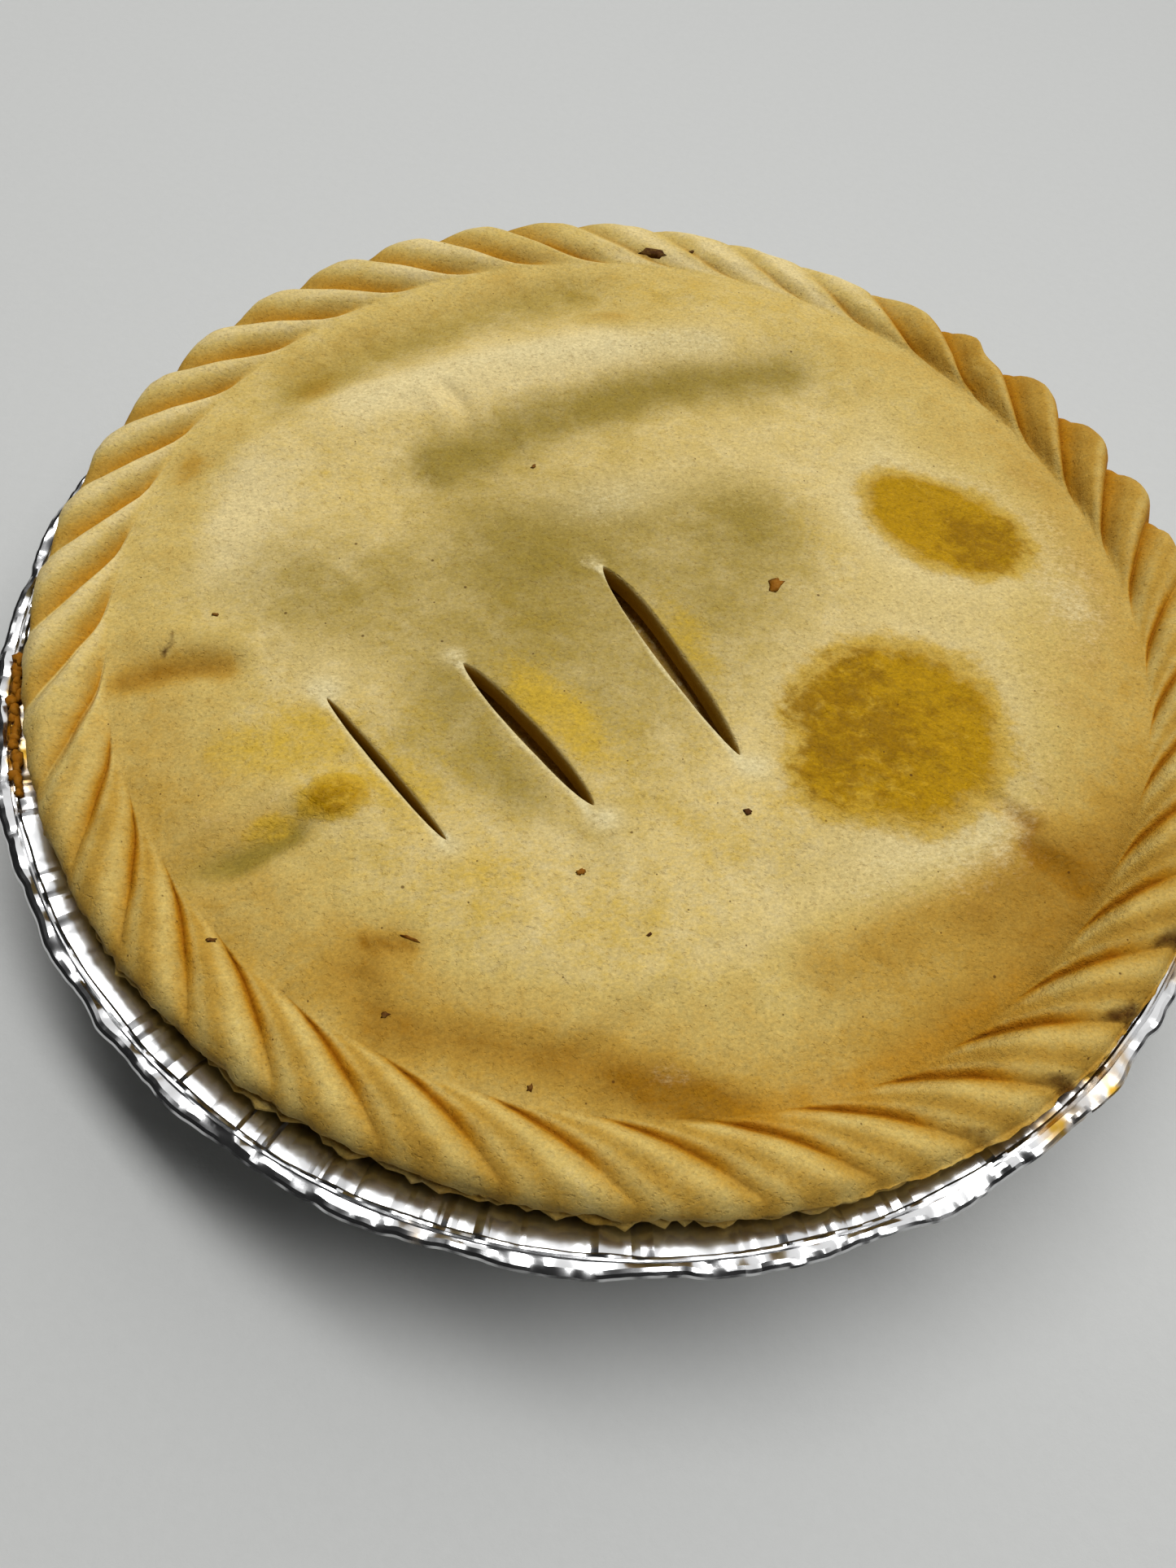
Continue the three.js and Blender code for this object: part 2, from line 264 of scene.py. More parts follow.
def left_pillow(phase):
    """Height across a crimp at the left: it rises quickly, then slopes down under the next."""
    return 1.15 * ease(phase, 0, 0.26) * (1 - 0.95 * ease(phase, 0.38, 1.0))


def right_pillow(phase):
    """Height across a crimp at the back right: a round finger with a crease down its far side."""
    finger = np.sin(np.pi * np.clip(phase, 0, 1) ** 0.8)
    return 1.3 * finger - 0.16 * np.exp(-(((phase - 0.8) / 0.06) ** 2))


def dome(radius, angle):
    """Height of the lid's sheet without its relief."""
    rise = LID_RISE * (1 - np.minimum(radius / SHEET_R, 1) ** 4)
    return LID_EDGE_Z + rise + rim_lift(angle) * ease(radius, 45, SHEET_R)


# Relief of the lid's sheet, in millimetres: height of each hill (below 0 for a hollow), then its
# path and width, or its middle, half sizes, tilt and power.
RELIEF_FOLDS = [
    (-1.1, [(-45, 24), (-24, 42), (2, 60), (26, 70)], 9),
    (1.9, [(-72, 27), (-54, 46), (-34, 60), (-14, 68), (10, 76)], 9),
    (-2.6, [(-75, 45), (-50, 67), (-22, 85)], 11),
    (0.9, [(12, 92), (34, 84), (56, 70)], 12),
    (-1.3, [(-49, -52), (-55, -58), (-63, -63)], 2.8),
    (0.9, [(-54, -46), (-66, -55)], 4.5),
    (-1.2, [(-87, -29), (-78, -25), (-67, -23)], 2.8),
    (0.8, [(-84, -20), (-76, -17), (-68, -19)], 3.4),
    (-0.8, [(-42, 49), (-38, 46), (-35, 38)], 1.5),
    (0.5, [(-46, 47), (-41, 42), (-39, 35)], 2.2),
    (-0.5, [(40, 60), (50, 75)], 1.4),
    (0.4, [(36, 62), (44, 75)], 2.2),
    (-0.5, [(52, 56), (60, 68)], 1.6),
    (-0.9, [(65, -28), (71, -32)], 1.7),
    (-0.9, [(71, -36), (79, -41)], 1.9),
    (0.7, [(40, -60), (60, -49), (76, -34)], 7),
    (-0.5, [(28, -52), (44, -42), (62, -33)], 5),
    (-0.6, [(-27, -69), (-33, -68), (-36, -74), (-31, -80)], 2.2),
    (-0.6, [(1, -83), (7, -77), (13, -71)], 1.5),
    (0.5, [(-2, -79), (4, -73), (10, -69)], 2.4),
    (-0.5, [(-30, -81), (-10, -84), (2, -82)], 2.6),
]
RELIEF_OVALS = [
    (-0.9, (50, -17), (21, 20), 0, 3),
    (-0.7, (60, 31), (18, 13), 0, 3),
    (1.3, (-44, -46), (6.4, 4.6), 12, 3),
    (0.9, (-11.5, 76), (5, 3), 12, 3),
    (0.6, (5, 87), (7, 3), 12, 3),
]
WRINKLES = [(-47, 26), (-42, 31), (-38, 29), (-33, 35), (-28, 31), (-24, 38)]


def lid_relief(x, y):
    """Trough, ridge, swells, wrinkles, dents and blisters of the lid's sheet."""
    height = hills(x, y, RELIEF_FOLDS, RELIEF_OVALS)
    for across, along in WRINKLES:
        path = [(across - 1.5, along + 4), (across + 1.5, along - 3)]
        height += 0.45 * fold(x, y, path, 1.7)
    return height


def inside_dish(x, y, z):
    """Moves the points of the pie that would touch the dish's wall back inside it."""
    angle = np.degrees(np.arctan2(y, x))
    radius = np.hypot(x, y)
    limit = wall_radius(np.minimum(z, CREASE_Z)) - PLEAT_DEPTH - GAP - 0.3
    hem_top = CREASE_Z + HEM_THICK / 2 + hem_lift(angle)
    touching = (z <= hem_top + GAP) & (radius > limit)
    scale = np.where(touching, limit / np.maximum(radius, 1), 1)
    return x * scale, y * scale


# ---- making meshes ----


def spun(profile, columns):
    """Turns a profile of (radius, height) points about the upright axis into a closed mesh."""
    shape = bmesh.new()
    points = [shape.verts.new((radius, 0, z)) for radius, z in profile]
    edges = [shape.edges.new(pair) for pair in zip(points, points[1:])]
    turned = {"cent": (0, 0, 0), "axis": (0, 0, 1)}
    wedge = 2 * math.pi / WEDGES
    bmesh.ops.spin(shape, geom=points + edges, angle=wedge, steps=columns // WEDGES, **turned)
    whole = shape.verts[:] + shape.edges[:] + shape.faces[:]
    copies = {"use_duplicate": True, "angle": 2 * math.pi - wedge, "steps": WEDGES - 1}
    bmesh.ops.spin(shape, geom=whole, **copies, **turned)
    bmesh.ops.remove_doubles(shape, verts=shape.verts, dist=MERGE)
    bmesh.ops.recalc_face_normals(shape, faces=shape.faces)
    return shape


def to_object(shape, name):
    mesh = bpy.data.meshes.new(name)
    shape.to_mesh(mesh)
    shape.free()
    piece = bpy.data.objects.new(name, mesh)
    bpy.context.scene.collection.objects.link(piece)
    return piece


def apply_modifiers(piece):
    """Puts the result of an object's modifiers into its mesh."""
    graph = bpy.context.evaluated_depsgraph_get()
    mesh = bpy.data.meshes.new_from_object(piece.evaluated_get(graph))
    piece.modifiers.clear()
    old = piece.data
    piece.data = mesh
    mesh.name = piece.name
    bpy.data.meshes.remove(old)


def points_of(mesh):
    flat = np.empty(len(mesh.vertices) * 3)
    mesh.vertices.foreach_get("co", flat)
    return flat.reshape(-1, 3)


def move_points(mesh, x, y, z):
    mesh.vertices.foreach_set("co", np.stack([x, y, z], -1).ravel())
    mesh.update()


def paint(mesh, name, values):
    """Stores one number for each point of the mesh, for the material to read."""
    layer = mesh.attributes.new(name, "FLOAT", "POINT")
    layer.data.foreach_set("value", np.clip(values, 0, 1).astype(np.float32))


def finish_piece(piece, node, material):
    """Brings a piece from millimetres to metres and puts it in its node's place."""
    piece.data.transform(Matrix.Scale(MM, 4))
    piece.data.shade_smooth()
    piece.data.materials.clear()
    piece.data.materials.append(material)
    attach(piece, "root")
    if node:
        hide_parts(node)
    return piece


# ---- materials ----


def linear(code):
    """A colour code such as c8b070 as linear red, green and blue."""
    parts = [int(code[i : i + 2], 16) / 255 for i in (0, 2, 4)]
    return tuple(c / 12.92 if c <= 0.04045 else ((c + 0.055) / 1.055) ** 2.4 for c in parts)


class Wire:
    """A socket of a material's nodes. Sums and products of wires add Math nodes."""

    def __init__(self, tree, socket):
        self.tree = tree
        self.socket = socket

    def node(self, kind, settings=None, inputs=None, output=0):
        """Adds a node, sets it up, fills or links its inputs and gives one of its outputs."""
        made = self.tree.nodes.new(kind)
        for name, value in (settings or {}).items():
            if name == "stops":
                for place, tone in value[len(made.color_ramp.elements) :]:
                    made.color_ramp.elements.new(place)
                for stop, (place, tone) in zip(made.color_ramp.elements, value):
                    stop.position = place
                    stop.color = (*tone, 1)
            else:
                setattr(made, name, value)
        for name, value in (inputs or {}).items():
            if isinstance(value, Wire):
                self.tree.links.new(made.inputs[name], value.socket)
            else:
                made.inputs[name].default_value = value
        return Wire(self.tree, made.outputs[output])

    def math(self, operation, first, second=0.0):
        return self.node("ShaderNodeMath", {"operation": operation}, {0: first, 1: second})

    def __add__(self, other):
        return self.math("ADD", self, other)

    __radd__ = __add__

    def __mul__(self, other):
        return self.math("MULTIPLY", self, other)

    __rmul__ = __mul__

    def __sub__(self, other):
        return self.math("SUBTRACT", self, other)

    def __rsub__(self, other):
        return self.math("SUBTRACT", other, self)

    def clamp(self):
        return self.node("ShaderNodeClamp", None, {"Value": self})

    def step(self, low, high):
        """0 below low, 1 above high and a smooth step between."""
        settings = {"interpolation_type": "SMOOTHSTEP"}
        return self.node(
            "ShaderNodeMapRange", settings, {"Value": self, "From Min": low, "From Max": high}
        )

    def mix(self, first, second):
        """Mixes two colours by this value."""
        first = (*first, 1) if isinstance(first, tuple) else first
        second = (*second, 1) if isinstance(second, tuple) else second
        settings = {"data_type": "RGBA", "clamp_factor": True}
        return self.node(
            "ShaderNodeMix", settings, {"Factor": self, 6: first, 7: second}, output=2
        )

    def stretch(self, size):
        """This place, with a pattern's size in millimetres along each axis."""
        scale = tuple(1 / (MM * part) for part in size)
        settings = {"operation": "MULTIPLY"}
        return self.node("ShaderNodeVectorMath", settings, {0: self, 1: scale})

    def heading(self, degrees):
        """This place, turned about the upright axis."""
        turned = {"Vector": self, "Rotation": (0, 0, math.radians(degrees))}
        return self.node("ShaderNodeMapping", None, turned)

    def noise(self, detail=2.0, rough=0.5, twist=0.0):
        inputs = {"Vector": self, "Scale": 1.0, "Detail": detail, "Roughness": rough}
        inputs["Distortion"] = twist
        return self.node("ShaderNodeTexNoise", None, inputs)

    def cells(self, output="Distance"):
        inputs = {"Vector": self, "Scale": 1.0}
        return self.node("ShaderNodeTexVoronoi", None, inputs, output)

    def attribute(self, name):
        return self.node("ShaderNodeAttribute", {"attribute_name": name}, None, "Fac")

    def bump(self, distance, height):
        inputs = {"Distance": distance * MM, "Height": height}
        return self.node("ShaderNodeBump", None, inputs)


def new_material(name, **constants):
    """An empty Principled material: its shader and the place on the object, as a wire."""
    material = bpy.data.materials.new(name)
    material.use_nodes = True
    tree = material.node_tree
    shader = tree.nodes["Principled BSDF"]
    for key, value in constants.items():
        shader.inputs[key.replace("_", " ")].default_value = value
    place = tree.nodes.new("ShaderNodeTexCoord").outputs["Object"]
    return material, shader, Wire(tree, place)


def connect(shader, **wires):
    for key, wire in wires.items():
        wire.tree.links.new(shader.inputs[key.replace("_", " ")], wire.socket)


def speckle(place, spacing, size, share):
    """Tiny round dots, sparse enough that only a share of the cells holds one."""
    near = place.stretch((spacing, spacing, spacing)).cells()
    drawn = Wire(near.tree, near.socket.node.outputs["Color"])
    chance = drawn.node("ShaderNodeSeparateColor", None, {"Color": drawn}, "Red")
    return (1 - near.step(size * 0.5, size)) * chance.step(1 - share, 1 - share + 0.02)


def pastry_material(name, tones):
    """Baked shortcrust. Its attributes give browning, fat, flour, soaked and burnt places, and
    painted highlight and shade on the crimps and in the slits.
    """
    material, shader, place = new_material(name, Roughness=0.62)
    shader.inputs["Specular IOR Level"].default_value = 0.04

    patches = place.stretch((24, 24, 24)).noise(3, 0.6)
    clouds = place.stretch((7.5, 6.5, 7)).noise(4, 0.62, 0.5)
    lumps = place.stretch((2.6, 2.1, 2.3)).noise(3, 0.6, 0.4)
    rolled = place.heading(-18)
    fibres = rolled.stretch((1.15, 0.62, 0.8)).noise(3, 0.68)
    grain = rolled.stretch((0.62, 0.5, 0.55)).noise(2, 0.75)
    mottle = (patches - 0.5) * 0.6 + (clouds - 0.5) * 0.7 + (lumps - 0.5) * 0.45

    # The browning also carries the crimps' painted highlight and painted shade.
    toast = (place.attribute("toast") + mottle * 0.55 + (fibres - 0.5) * 0.25).clamp()
    stops = [(0.0, tones.pale), (0.3, tones.golden), (0.62, tones.baked), (1.0, tones.brown)]
    ramp = {"stops": [(at, tuple(tone)) for at, tone in stops]}
    colour = toast.node("ShaderNodeValToRGB", ramp, {"Fac": toast})

    fat = (place.attribute("fat") + mottle * 0.6 + (fibres - 0.5) * 0.3).step(0.0, 1.0)
    colour = (fat * 0.92).mix(colour, tuple(tones.fat))
    gild = (place.attribute("gild") + mottle * 0.8 + (fibres - 0.5) * 0.4).step(0.18, 0.95)
    colour = (gild * 0.85).mix(colour, tuple(tones.gild))
    flour = (place.attribute("flour") + mottle * 0.9 + (fibres - 0.5) * 0.7).step(0.2, 1.0)
    colour = (flour * 0.85).mix(colour, tuple(tones.flour))

    # The groove colour is browned butter, and painted shade in and beside the crimps' grooves.
    rust = place.attribute("rust")
    halo = (rust + mottle * rust).step(0.05, 0.65)
    colour = (halo * 0.8).mix(colour, tuple(tones.butter))
    colour = (rust + (lumps - 0.5) * rust * 0.8).step(0.4, 1.05).mix(colour, tuple(tones.rust))

    soak = place.attribute("soak")
    veins = place.stretch((3.6, 2.8, 3.2)).noise(4, 0.65, 0.6)
    soaked = (soak + (clouds - 0.5) * 0.5 + (lumps - 0.5) * 0.35).step(0.1, 0.75)
    colour = soaked.mix(colour, tuple(tones.soaked))
    drier = (lumps - 0.5) * 3.0 + (patches - 0.5) * 3 + (clouds - 0.5) * 2
    colour = (drier.step(0.0, 0.9) * soaked * 0.75).mix(colour, tuple(tones.amber))
    rim = soaked.step(0.05, 0.5) * (1 - soaked.step(0.6, 1.0))
    colour = (rim * 0.45).mix(colour, tuple(tones.gild))
    core = place.attribute("core") * soaked
    dark = core * 0.9 + (clouds - 0.5) * 1.9 + (veins - 0.5) * 2.6
    colour = (dark.step(0.1, 1.0) * core.step(0, 0.3) * 0.85).mix(colour, tuple(tones.core))

    burnt = (place.attribute("burnt") + (clouds - 0.5) * 0.6 + (lumps - 0.5) * 0.5).step(0.3, 0.85)
    colour = burnt.mix(colour, tuple(tones.burnt))

    specks = place.stretch((0.95, 0.85, 0.9)).noise(2, 0.6).step(0.56, 0.72)
    colour = (specks * 0.18).mix(colour, tuple(tones.brown))
    dots = speckle(place, 1.1, 0.2, 0.3)
    colour = (dots * 0.18).mix(colour, tuple(tones.brown))
    pepper = speckle(place, 3.1, 0.07, 0.3) + speckle(place, 7.3, 0.05, 0.6)
    colour = (pepper.clamp() * 0.75).mix(colour, tuple(tones.burnt))
    shade = (grain - 0.5) * 0.8 + (fibres - 0.5) * 0.45 + (lumps - 0.5) * 0.25 + 0.96
    colour = shade.node(
        "ShaderNodeVectorMath", {"operation": "SCALE"}, {0: colour, "Scale": shade}
    )

    # The slits' walls: paler at the lip and darker down the cut, partly moist crumb and partly a
    # painted highlight at the lip and painted shade lower in the cut.
    cut = place.attribute("cut")
    depth = (cut + (grain - 0.5) * 0.4 + (lumps - 0.5) * 0.3).clamp()
    stops = [(0.0, tones.lip), (0.25, tones.crumb), (0.6, tones.moist), (1.0, tones.dark)]
    walls = {"stops": [(at, tuple(tone)) for at, tone in stops]}
    inside = depth.node("ShaderNodeValToRGB", walls, {"Fac": depth})
    colour = cut.step(0.02, 0.09).mix(colour, inside)

    shine = 0.66 - soaked * 0.3 - burnt * 0.12 + (grain - 0.5) * 0.3
    crumb = place.attribute("crumb")
    rough_crumb = place.stretch((1.3, 1.3, 1.3)).noise(4, 0.75)
    height = grain * 0.12 + fibres * 0.3 + lumps * 0.8 + crumb * rough_crumb * 4
    height = height + soaked * veins * 2.2 - specks * 0.3
    connect(shader, Base_Color=colour, Roughness=shine, Normal=place.bump(0.25, height))
    return material


def filling_material(name, tones):
    """Minced meat and potato in gravy: dark, moist and lumpy."""
    material, shader, place = new_material(name, Roughness=0.5)
    shader.inputs["Specular IOR Level"].default_value = 0.2
    lumps = place.stretch((3.0, 3.0, 3.0)).cells()
    bits = place.stretch((1.2, 1.2, 1.2)).noise(3, 0.6)
    colour = bits.step(0.35, 0.65).mix(tuple(tones.gravy), tuple(tones.meat))
    colour = (bits + (0.5 - lumps) * 0.6).step(0.62, 0.8).mix(colour, tuple(tones.potato))
    connect(shader, Base_Color=colour, Normal=place.bump(0.6, bits - lumps))
    return material


def foil_material(name, tones):
    """Thin pressed aluminium, a little hazy from its rolling, with baked-on stains."""
    material, shader, place = new_material(name, Metallic=1.0, Roughness=0.2)
    haze = place.stretch((14, 14, 14)).noise(3, 0.6)
    dents = place.stretch((3.5, 3.5, 3.5)).noise(2, 0.5)
    stain = place.attribute("stain")
    stained = (stain + (haze - 0.5) * stain * 2 + (dents - 0.5) * stain * 1.5).step(0.25, 0.8)
    colour = (haze * 0.5).mix(tuple(tones.bright), tuple(tones.dull))
    colour = stained.mix(colour, tuple(tones.stain))
    roughness = 0.13 + haze * 0.12 + stained * 0.25
    connect(shader, Base_Color=colour, Roughness=roughness, Normal=place.bump(0.05, dents))
    return material


def fleck_material(name, tones):
    material, shader, place = new_material(name, Roughness=0.7)
    shader.inputs["Specular IOR Level"].default_value = 0.1
    grain = place.stretch((0.8, 0.8, 0.8)).noise(3, 0.7)
    colour = place.attribute("char").mix(tuple(tones.rust), tuple(tones.burnt))
    colour = (grain.step(0.4, 0.8) * 0.25).mix(colour, tuple(tones.baked))
    connect(shader, Base_Color=colour, Normal=place.bump(0.2, grain))
    return material


# ---- the lid ----


def lid_section():
    """Section of the lid: out along its top, round the rim's edge and back along its underside."""
    section = [(0.0, LID_EDGE_Z), (3.0, LID_EDGE_Z)]
    section += [(radius, LID_EDGE_Z) for radius in np.arange(6.0, ROPE_IN - 1, 1.5)]
    roll = ROPE_OUT - EDGE_ROLL
    rise = ROPE_CREST - LID_EDGE_Z
    for radius in np.arange(ROPE_IN, roll, 0.62):
        section.append((radius, LID_EDGE_Z + rise * ease(radius, ROPE_IN, ROPE_IN + 5.5)))
    for angle in np.arange(90, -11, -10):
        a = math.radians(angle)
        height = EDGE_MIDDLE + (ROPE_CREST - EDGE_MIDDLE) * math.sin(a)
        section.append((roll + EDGE_ROLL * math.cos(a), height))
    section += [(ROPE_OUT - 0.5, 30.95), (ROPE_OUT - 1.4, ROPE_UNDER)]
    section += [(radius, ROPE_UNDER) for radius in (105.5, 104, 102, 100, 98)]
    under = LID_EDGE_Z - LID_THICK
    section += [(radius, under) for radius in (92, 86, 78, 70, 62, 48, 32, 16, 0)]
    return section


def slit_cutter(start, end, left, right, skew):
    """A lens-shaped cutter through the lid, flared at the top so that the cut has rounded lips."""
    pie_middle = np.array((PIE_X, PIE_Y))
    start, end = np.array(start) - pie_middle, np.array(end) - pie_middle
    middle, along = (start + end) / 2, (end - start) / 2
    half = np.hypot(*along)
    along = along / half
    across = np.array([-along[1], along[0]])
    levels = [-9, -4.2, -3.4, -2.6, -1.9, -1.3, -0.8, -0.4, -0.12, 0.02, 1]
    flares = [0, -0.1, 0, 0, 0, 0.05, 0.12, 0.24, 0.45, 0.7, 1.3]

    shape = bmesh.new()
    bmesh.ops.create_cone(
        shape, cap_ends=True, segments=SLIT_SIDES, radius1=1.0, radius2=1.0, depth=1.0
    )
    upright = [edge for edge in shape.edges if abs(edge.verts[0].co.z - edge.verts[1].co.z) > 0.5]
    bmesh.ops.subdivide_edges(shape, edges=upright, cuts=len(levels) - 2, use_grid_fill=True)
    for vert in shape.verts:
        ring = round((vert.co.z + 0.5) * (len(levels) - 1))
        reach = max(-1.0, min(1.0, vert.co.x))
        bow = right if vert.co.y > 0 else left
        lens = bow * (1 - abs(reach) ** 2.8) ** 0.75 * (1 - skew * reach)
        width = max(lens + flares[ring] * math.sqrt(1 - reach**2), lens * 0.5)
        sideways = math.copysign(width, vert.co.y) if abs(vert.co.y) > 1e-6 else 0.0
        x, y = middle + along * (half + flares[ring] * 0.5) * reach + across * sideways
        vert.co = (x, y, LID_EDGE_Z + levels[ring])
    return to_object(shape, "slit_cutter")


def cut_slits(piece):
    cutters = [slit_cutter(*slit) for slit in SLITS]
    for cutter in cutters:
        cut = piece.modifiers.new("slit", "BOOLEAN")
        cut.operation = "DIFFERENCE"
        cut.solver = "EXACT"
        cut.object = cutter
    apply_modifiers(piece)
    for cutter in cutters:
        bpy.data.objects.remove(cutter)
    shape = bmesh.new()
    shape.from_mesh(piece.data)
    bmesh.ops.dissolve_degenerate(shape, edges=shape.edges, dist=1e-3)
    shape.to_mesh(piece.data)
    shape.free()


def place_lid(mesh):
    """Moves the lid's points from their even section to their own places and paints its zones."""
    flat = points_of(mesh)
    radius = np.hypot(flat[:, 0], flat[:, 1])
    angle = np.degrees(np.arctan2(flat[:, 1], flat[:, 0]))
    height = flat[:, 2]

    rope = ease(radius, ROPE_IN - 8, ROPE_IN)
    band = np.clip((radius - ROPE_IN) / (ROPE_OUT - ROPE_IN), 0, 1)
    count = ((angle - FIRST_CRIMP) % 360) / CRIMP_STEP
    even = count - np.floor(count + 1e-6)
    phase = even - 0.5 * np.sin(2 * np.pi * even) / (2 * np.pi) * rope
    drift = crimp_drift(angle) * ease(radius, 60, ROPE_IN)
    turned = angle + (phase - even) * CRIMP_STEP + drift + crimp_lean(band)
    a = np.radians(turned)

    right = hill(turned, 38, 26, 4)
    back = hill(turned, 82, 20, 4)
    left = hill(turned, 156, 52, 6)
    front = 1 - ease(right + left + back, 0.2, 1)
    every = np.maximum(front + right + back + left, 0.01)
    front, right, back, left = front / every, right / every, back / every, left / every
    upper = ease(height, ROPE_UNDER + 0.6, ROPE_UNDER + 3.4)
    deep = 1.05 + 0.75 * right + 0.45 * left - 0.45 * back
    fade_in = ease(band, 0.0, 0.16)
    fade_out = 1 - (0.8 - 0.55 * right - 0.3 * left) * ease(band, 0.72, 0.95)
    valley = 0.2 * (1 - hill(turned, 220, 24, 4))
    across = front_pillow(phase, valley) * (front + back) + right_pillow(phase) * right
    across = across + left_pillow(phase) * left
    relief = CRIMP_DEPTH * deep * (across - 0.72) * fade_in * fade_out

    ring = np.stack([radius * np.cos(a), radius * np.sin(a), height], -1)
    lumps = wander(ring, 13.0, 1, 2)
    small = wander(ring, 4.5, 2, 3)
    fine = wander(ring, 1.6, 3, 2)

    scallop = (across - 0.75) * (0.25 + 1.15 * hill(turned, 125, 45, 4) + 1.7 * right)
    reach = (rim_radius(turned) - ROPE_OUT + scallop + 0.25 * small * band) * band
    lower_edge = ease(band, 0.85, 1) * (1 - upper)
    reach = reach + lower_edge * (0.35 * fine + 0.5 * small)

    x = PIE_X + (radius + reach) * np.cos(a)
    y = PIE_Y + (radius + reach) * np.sin(a)
    sheet = radius < ROPE_IN - 1
    share = np.clip((height - (LID_EDGE_Z - LID_THICK)) / LID_THICK, 0, 1)
    fade = 1 - ease(radius, 84, SHEET_R)
    rise = dome(radius, turned) - LID_EDGE_Z
    wet = blot(x, y, (60, 31), (15, 11), -18, 6) + blot(x, y, (50, -17), (19, 18), 0, 6)
    rough = 0.24 * lumps + 0.13 * small + 0.04 * fine + wet * (0.3 * small + 0.12 * fine)
    top_shift = rise + lid_relief(x, y) * fade + rough
    low_level = ROPE_UNDER + 0.6 + under_lift(turned, 0.6, radius) * ease(radius, 45, 84)
    low_shift = np.maximum(rise + LID_EDGE_Z - LID_THICK, low_level) - (LID_EDGE_Z - LID_THICK)
    ledge = 0.45 * np.exp(-(((radius - ROPE_IN - 1.0) / 1.0) ** 2)) * right * (1 + small + fine)
    rim_top = rim_lift(turned) + relief + rough * 0.7 - ledge
    rim_low = under_lift(turned, 0.6, radius) + 0.25 * small * ease(band, 0.3, 1)
    z = height + np.where(
        sheet,
        share * top_shift + (1 - share) * low_shift,
        upper * rim_top + (1 - upper) * rim_low,
    )
    x, y = inside_dish(x, y, z)
    move_points(mesh, x, y, z)

    # Depth down the slits' walls, which the material turns into the walls' colour, partly painted
    # shade.
    cut = np.where(radius < ROPE_IN - 6, 1 - share, 0)
    paint(mesh, "cut", cut)
    paint_sheet(mesh, x, y, radius)
    paint_rope(mesh, x, y, radius, turned, phase, band, upper, (front, right, back, left))


# Zones of the lid's sheet: strength of each patch, then its path and width, or its middle, half
# sizes, tilt and power.
HALO_OVALS = [
    (1, (60, 31), (23, 18), 0, 2.6),
    (1, (50, -17), (27, 26), 0, 2.8),
]
FAT_FOLDS = [
    (0.85, [(-40, 30), (-22, 45), (2, 60), (26, 68)], 8),
    (0.55, [(-74, 44), (-50, 66), (-22, 86)], 9),
    (0.3, [(-30, -22), (-14, -40)], 5),
    (0.28, [(-34, -34), (0, -48)], 6),
    (0.95, [(-49, -53), (-56, -59), (-64, -63)], 2.6),
    (0.2, [(-80, -47), (-62, -60)], 6),
    (-0.35, [(-60, 40), (-34, 58), (-12, 66), (12, 74)], 6),
]
FAT_OVALS = [
    (0.62, (-2, 0), (48, 34), 20, 4),
    (0.55, (-60, -4), (17, 14)),
    (0.3, (22, 26), (14, 12)),
    (0.3, (-22, 12), (16, 14)),
]
FLOUR_FOLDS = [
    (0.6, [(-58, 42), (-34, 59), (-12, 67), (10, 73)], 6),
    (0.3, [(44, 34), (46, 60)], 8),
    (0.3, [(22, -62), (44, -48), (64, -34)], 7),
    (0.3, [(-52, -46), (-66, -55)], 3),
    # Pale along the slits' lips: partly flour, partly painted highlight on the cut's edge.
    (0.9, [(-49.4, -27.6), (-37.6, -39.9), (-25, -51)], 0.7),
    (0.9, [(-28, -17.4), (-16.2, -30.5), (-3, -42)], 0.8),
    (0.9, [(-6.5, 8.5), (-2, 0.5), (5.9, -11), (20.6, -28.2)], 0.8),
    (-0.4, [(-25, -16), (-4, -36)], 3),
]
FLOUR_OVALS = [
    (0.3, (20, 44), (14, 14)),
    (0.35, (-4, 28), (16, 8), 20),
    (0.35, (14, -84), (5, 2.5)),
    (0.35, (-75, 0), (9, 12)),
    (0.4, (84, 14), (9, 12)),
    (0.35, (-50, -20), (12, 8)),
    (0.25, (-10, 22), (18, 8), 30),
    (-0.4, (-12, 2), (26, 10), 10),
]
TOAST_FOLDS = [
    (0.15, [(-70, 50), (-58, 66), (-36, 86)], 6),
    (0.15, [(-80, 30), (-82, 0)], 5),
    (0.5, [(-84, -28), (-76, -24.5), (-68, -23)], 2.8),
    (0.35, [(38, -62), (60, -50), (76, -36)], 6),
    (0.45, [(64, -28), (72, -32)], 2),
    (0.45, [(71, -36), (79, -41)], 2),
    (0.4, [(-27, -69), (-34, -69)], 1.4),
    (0.35, [(-30, -82), (0, -83), (24, -88)], 4),
    (-0.3, [(-58, 42), (-12, 67)], 6),
]
TOAST_OVALS = [
    (-0.3, (-74, 12), (8, 20)),
    (0.45, (-68, 46), (3, 5), -30),
    (0.4, (-86, 20), (3, 5)),
    (0.35, (-33, -74), (8, 7)),
    (0.45, (20, -87), (13, 3.5), -4),
    (0.3, (-11.5, 76), (5, 3.2), 12),
    (-0.1, (0, -60), (40, 14)),
]
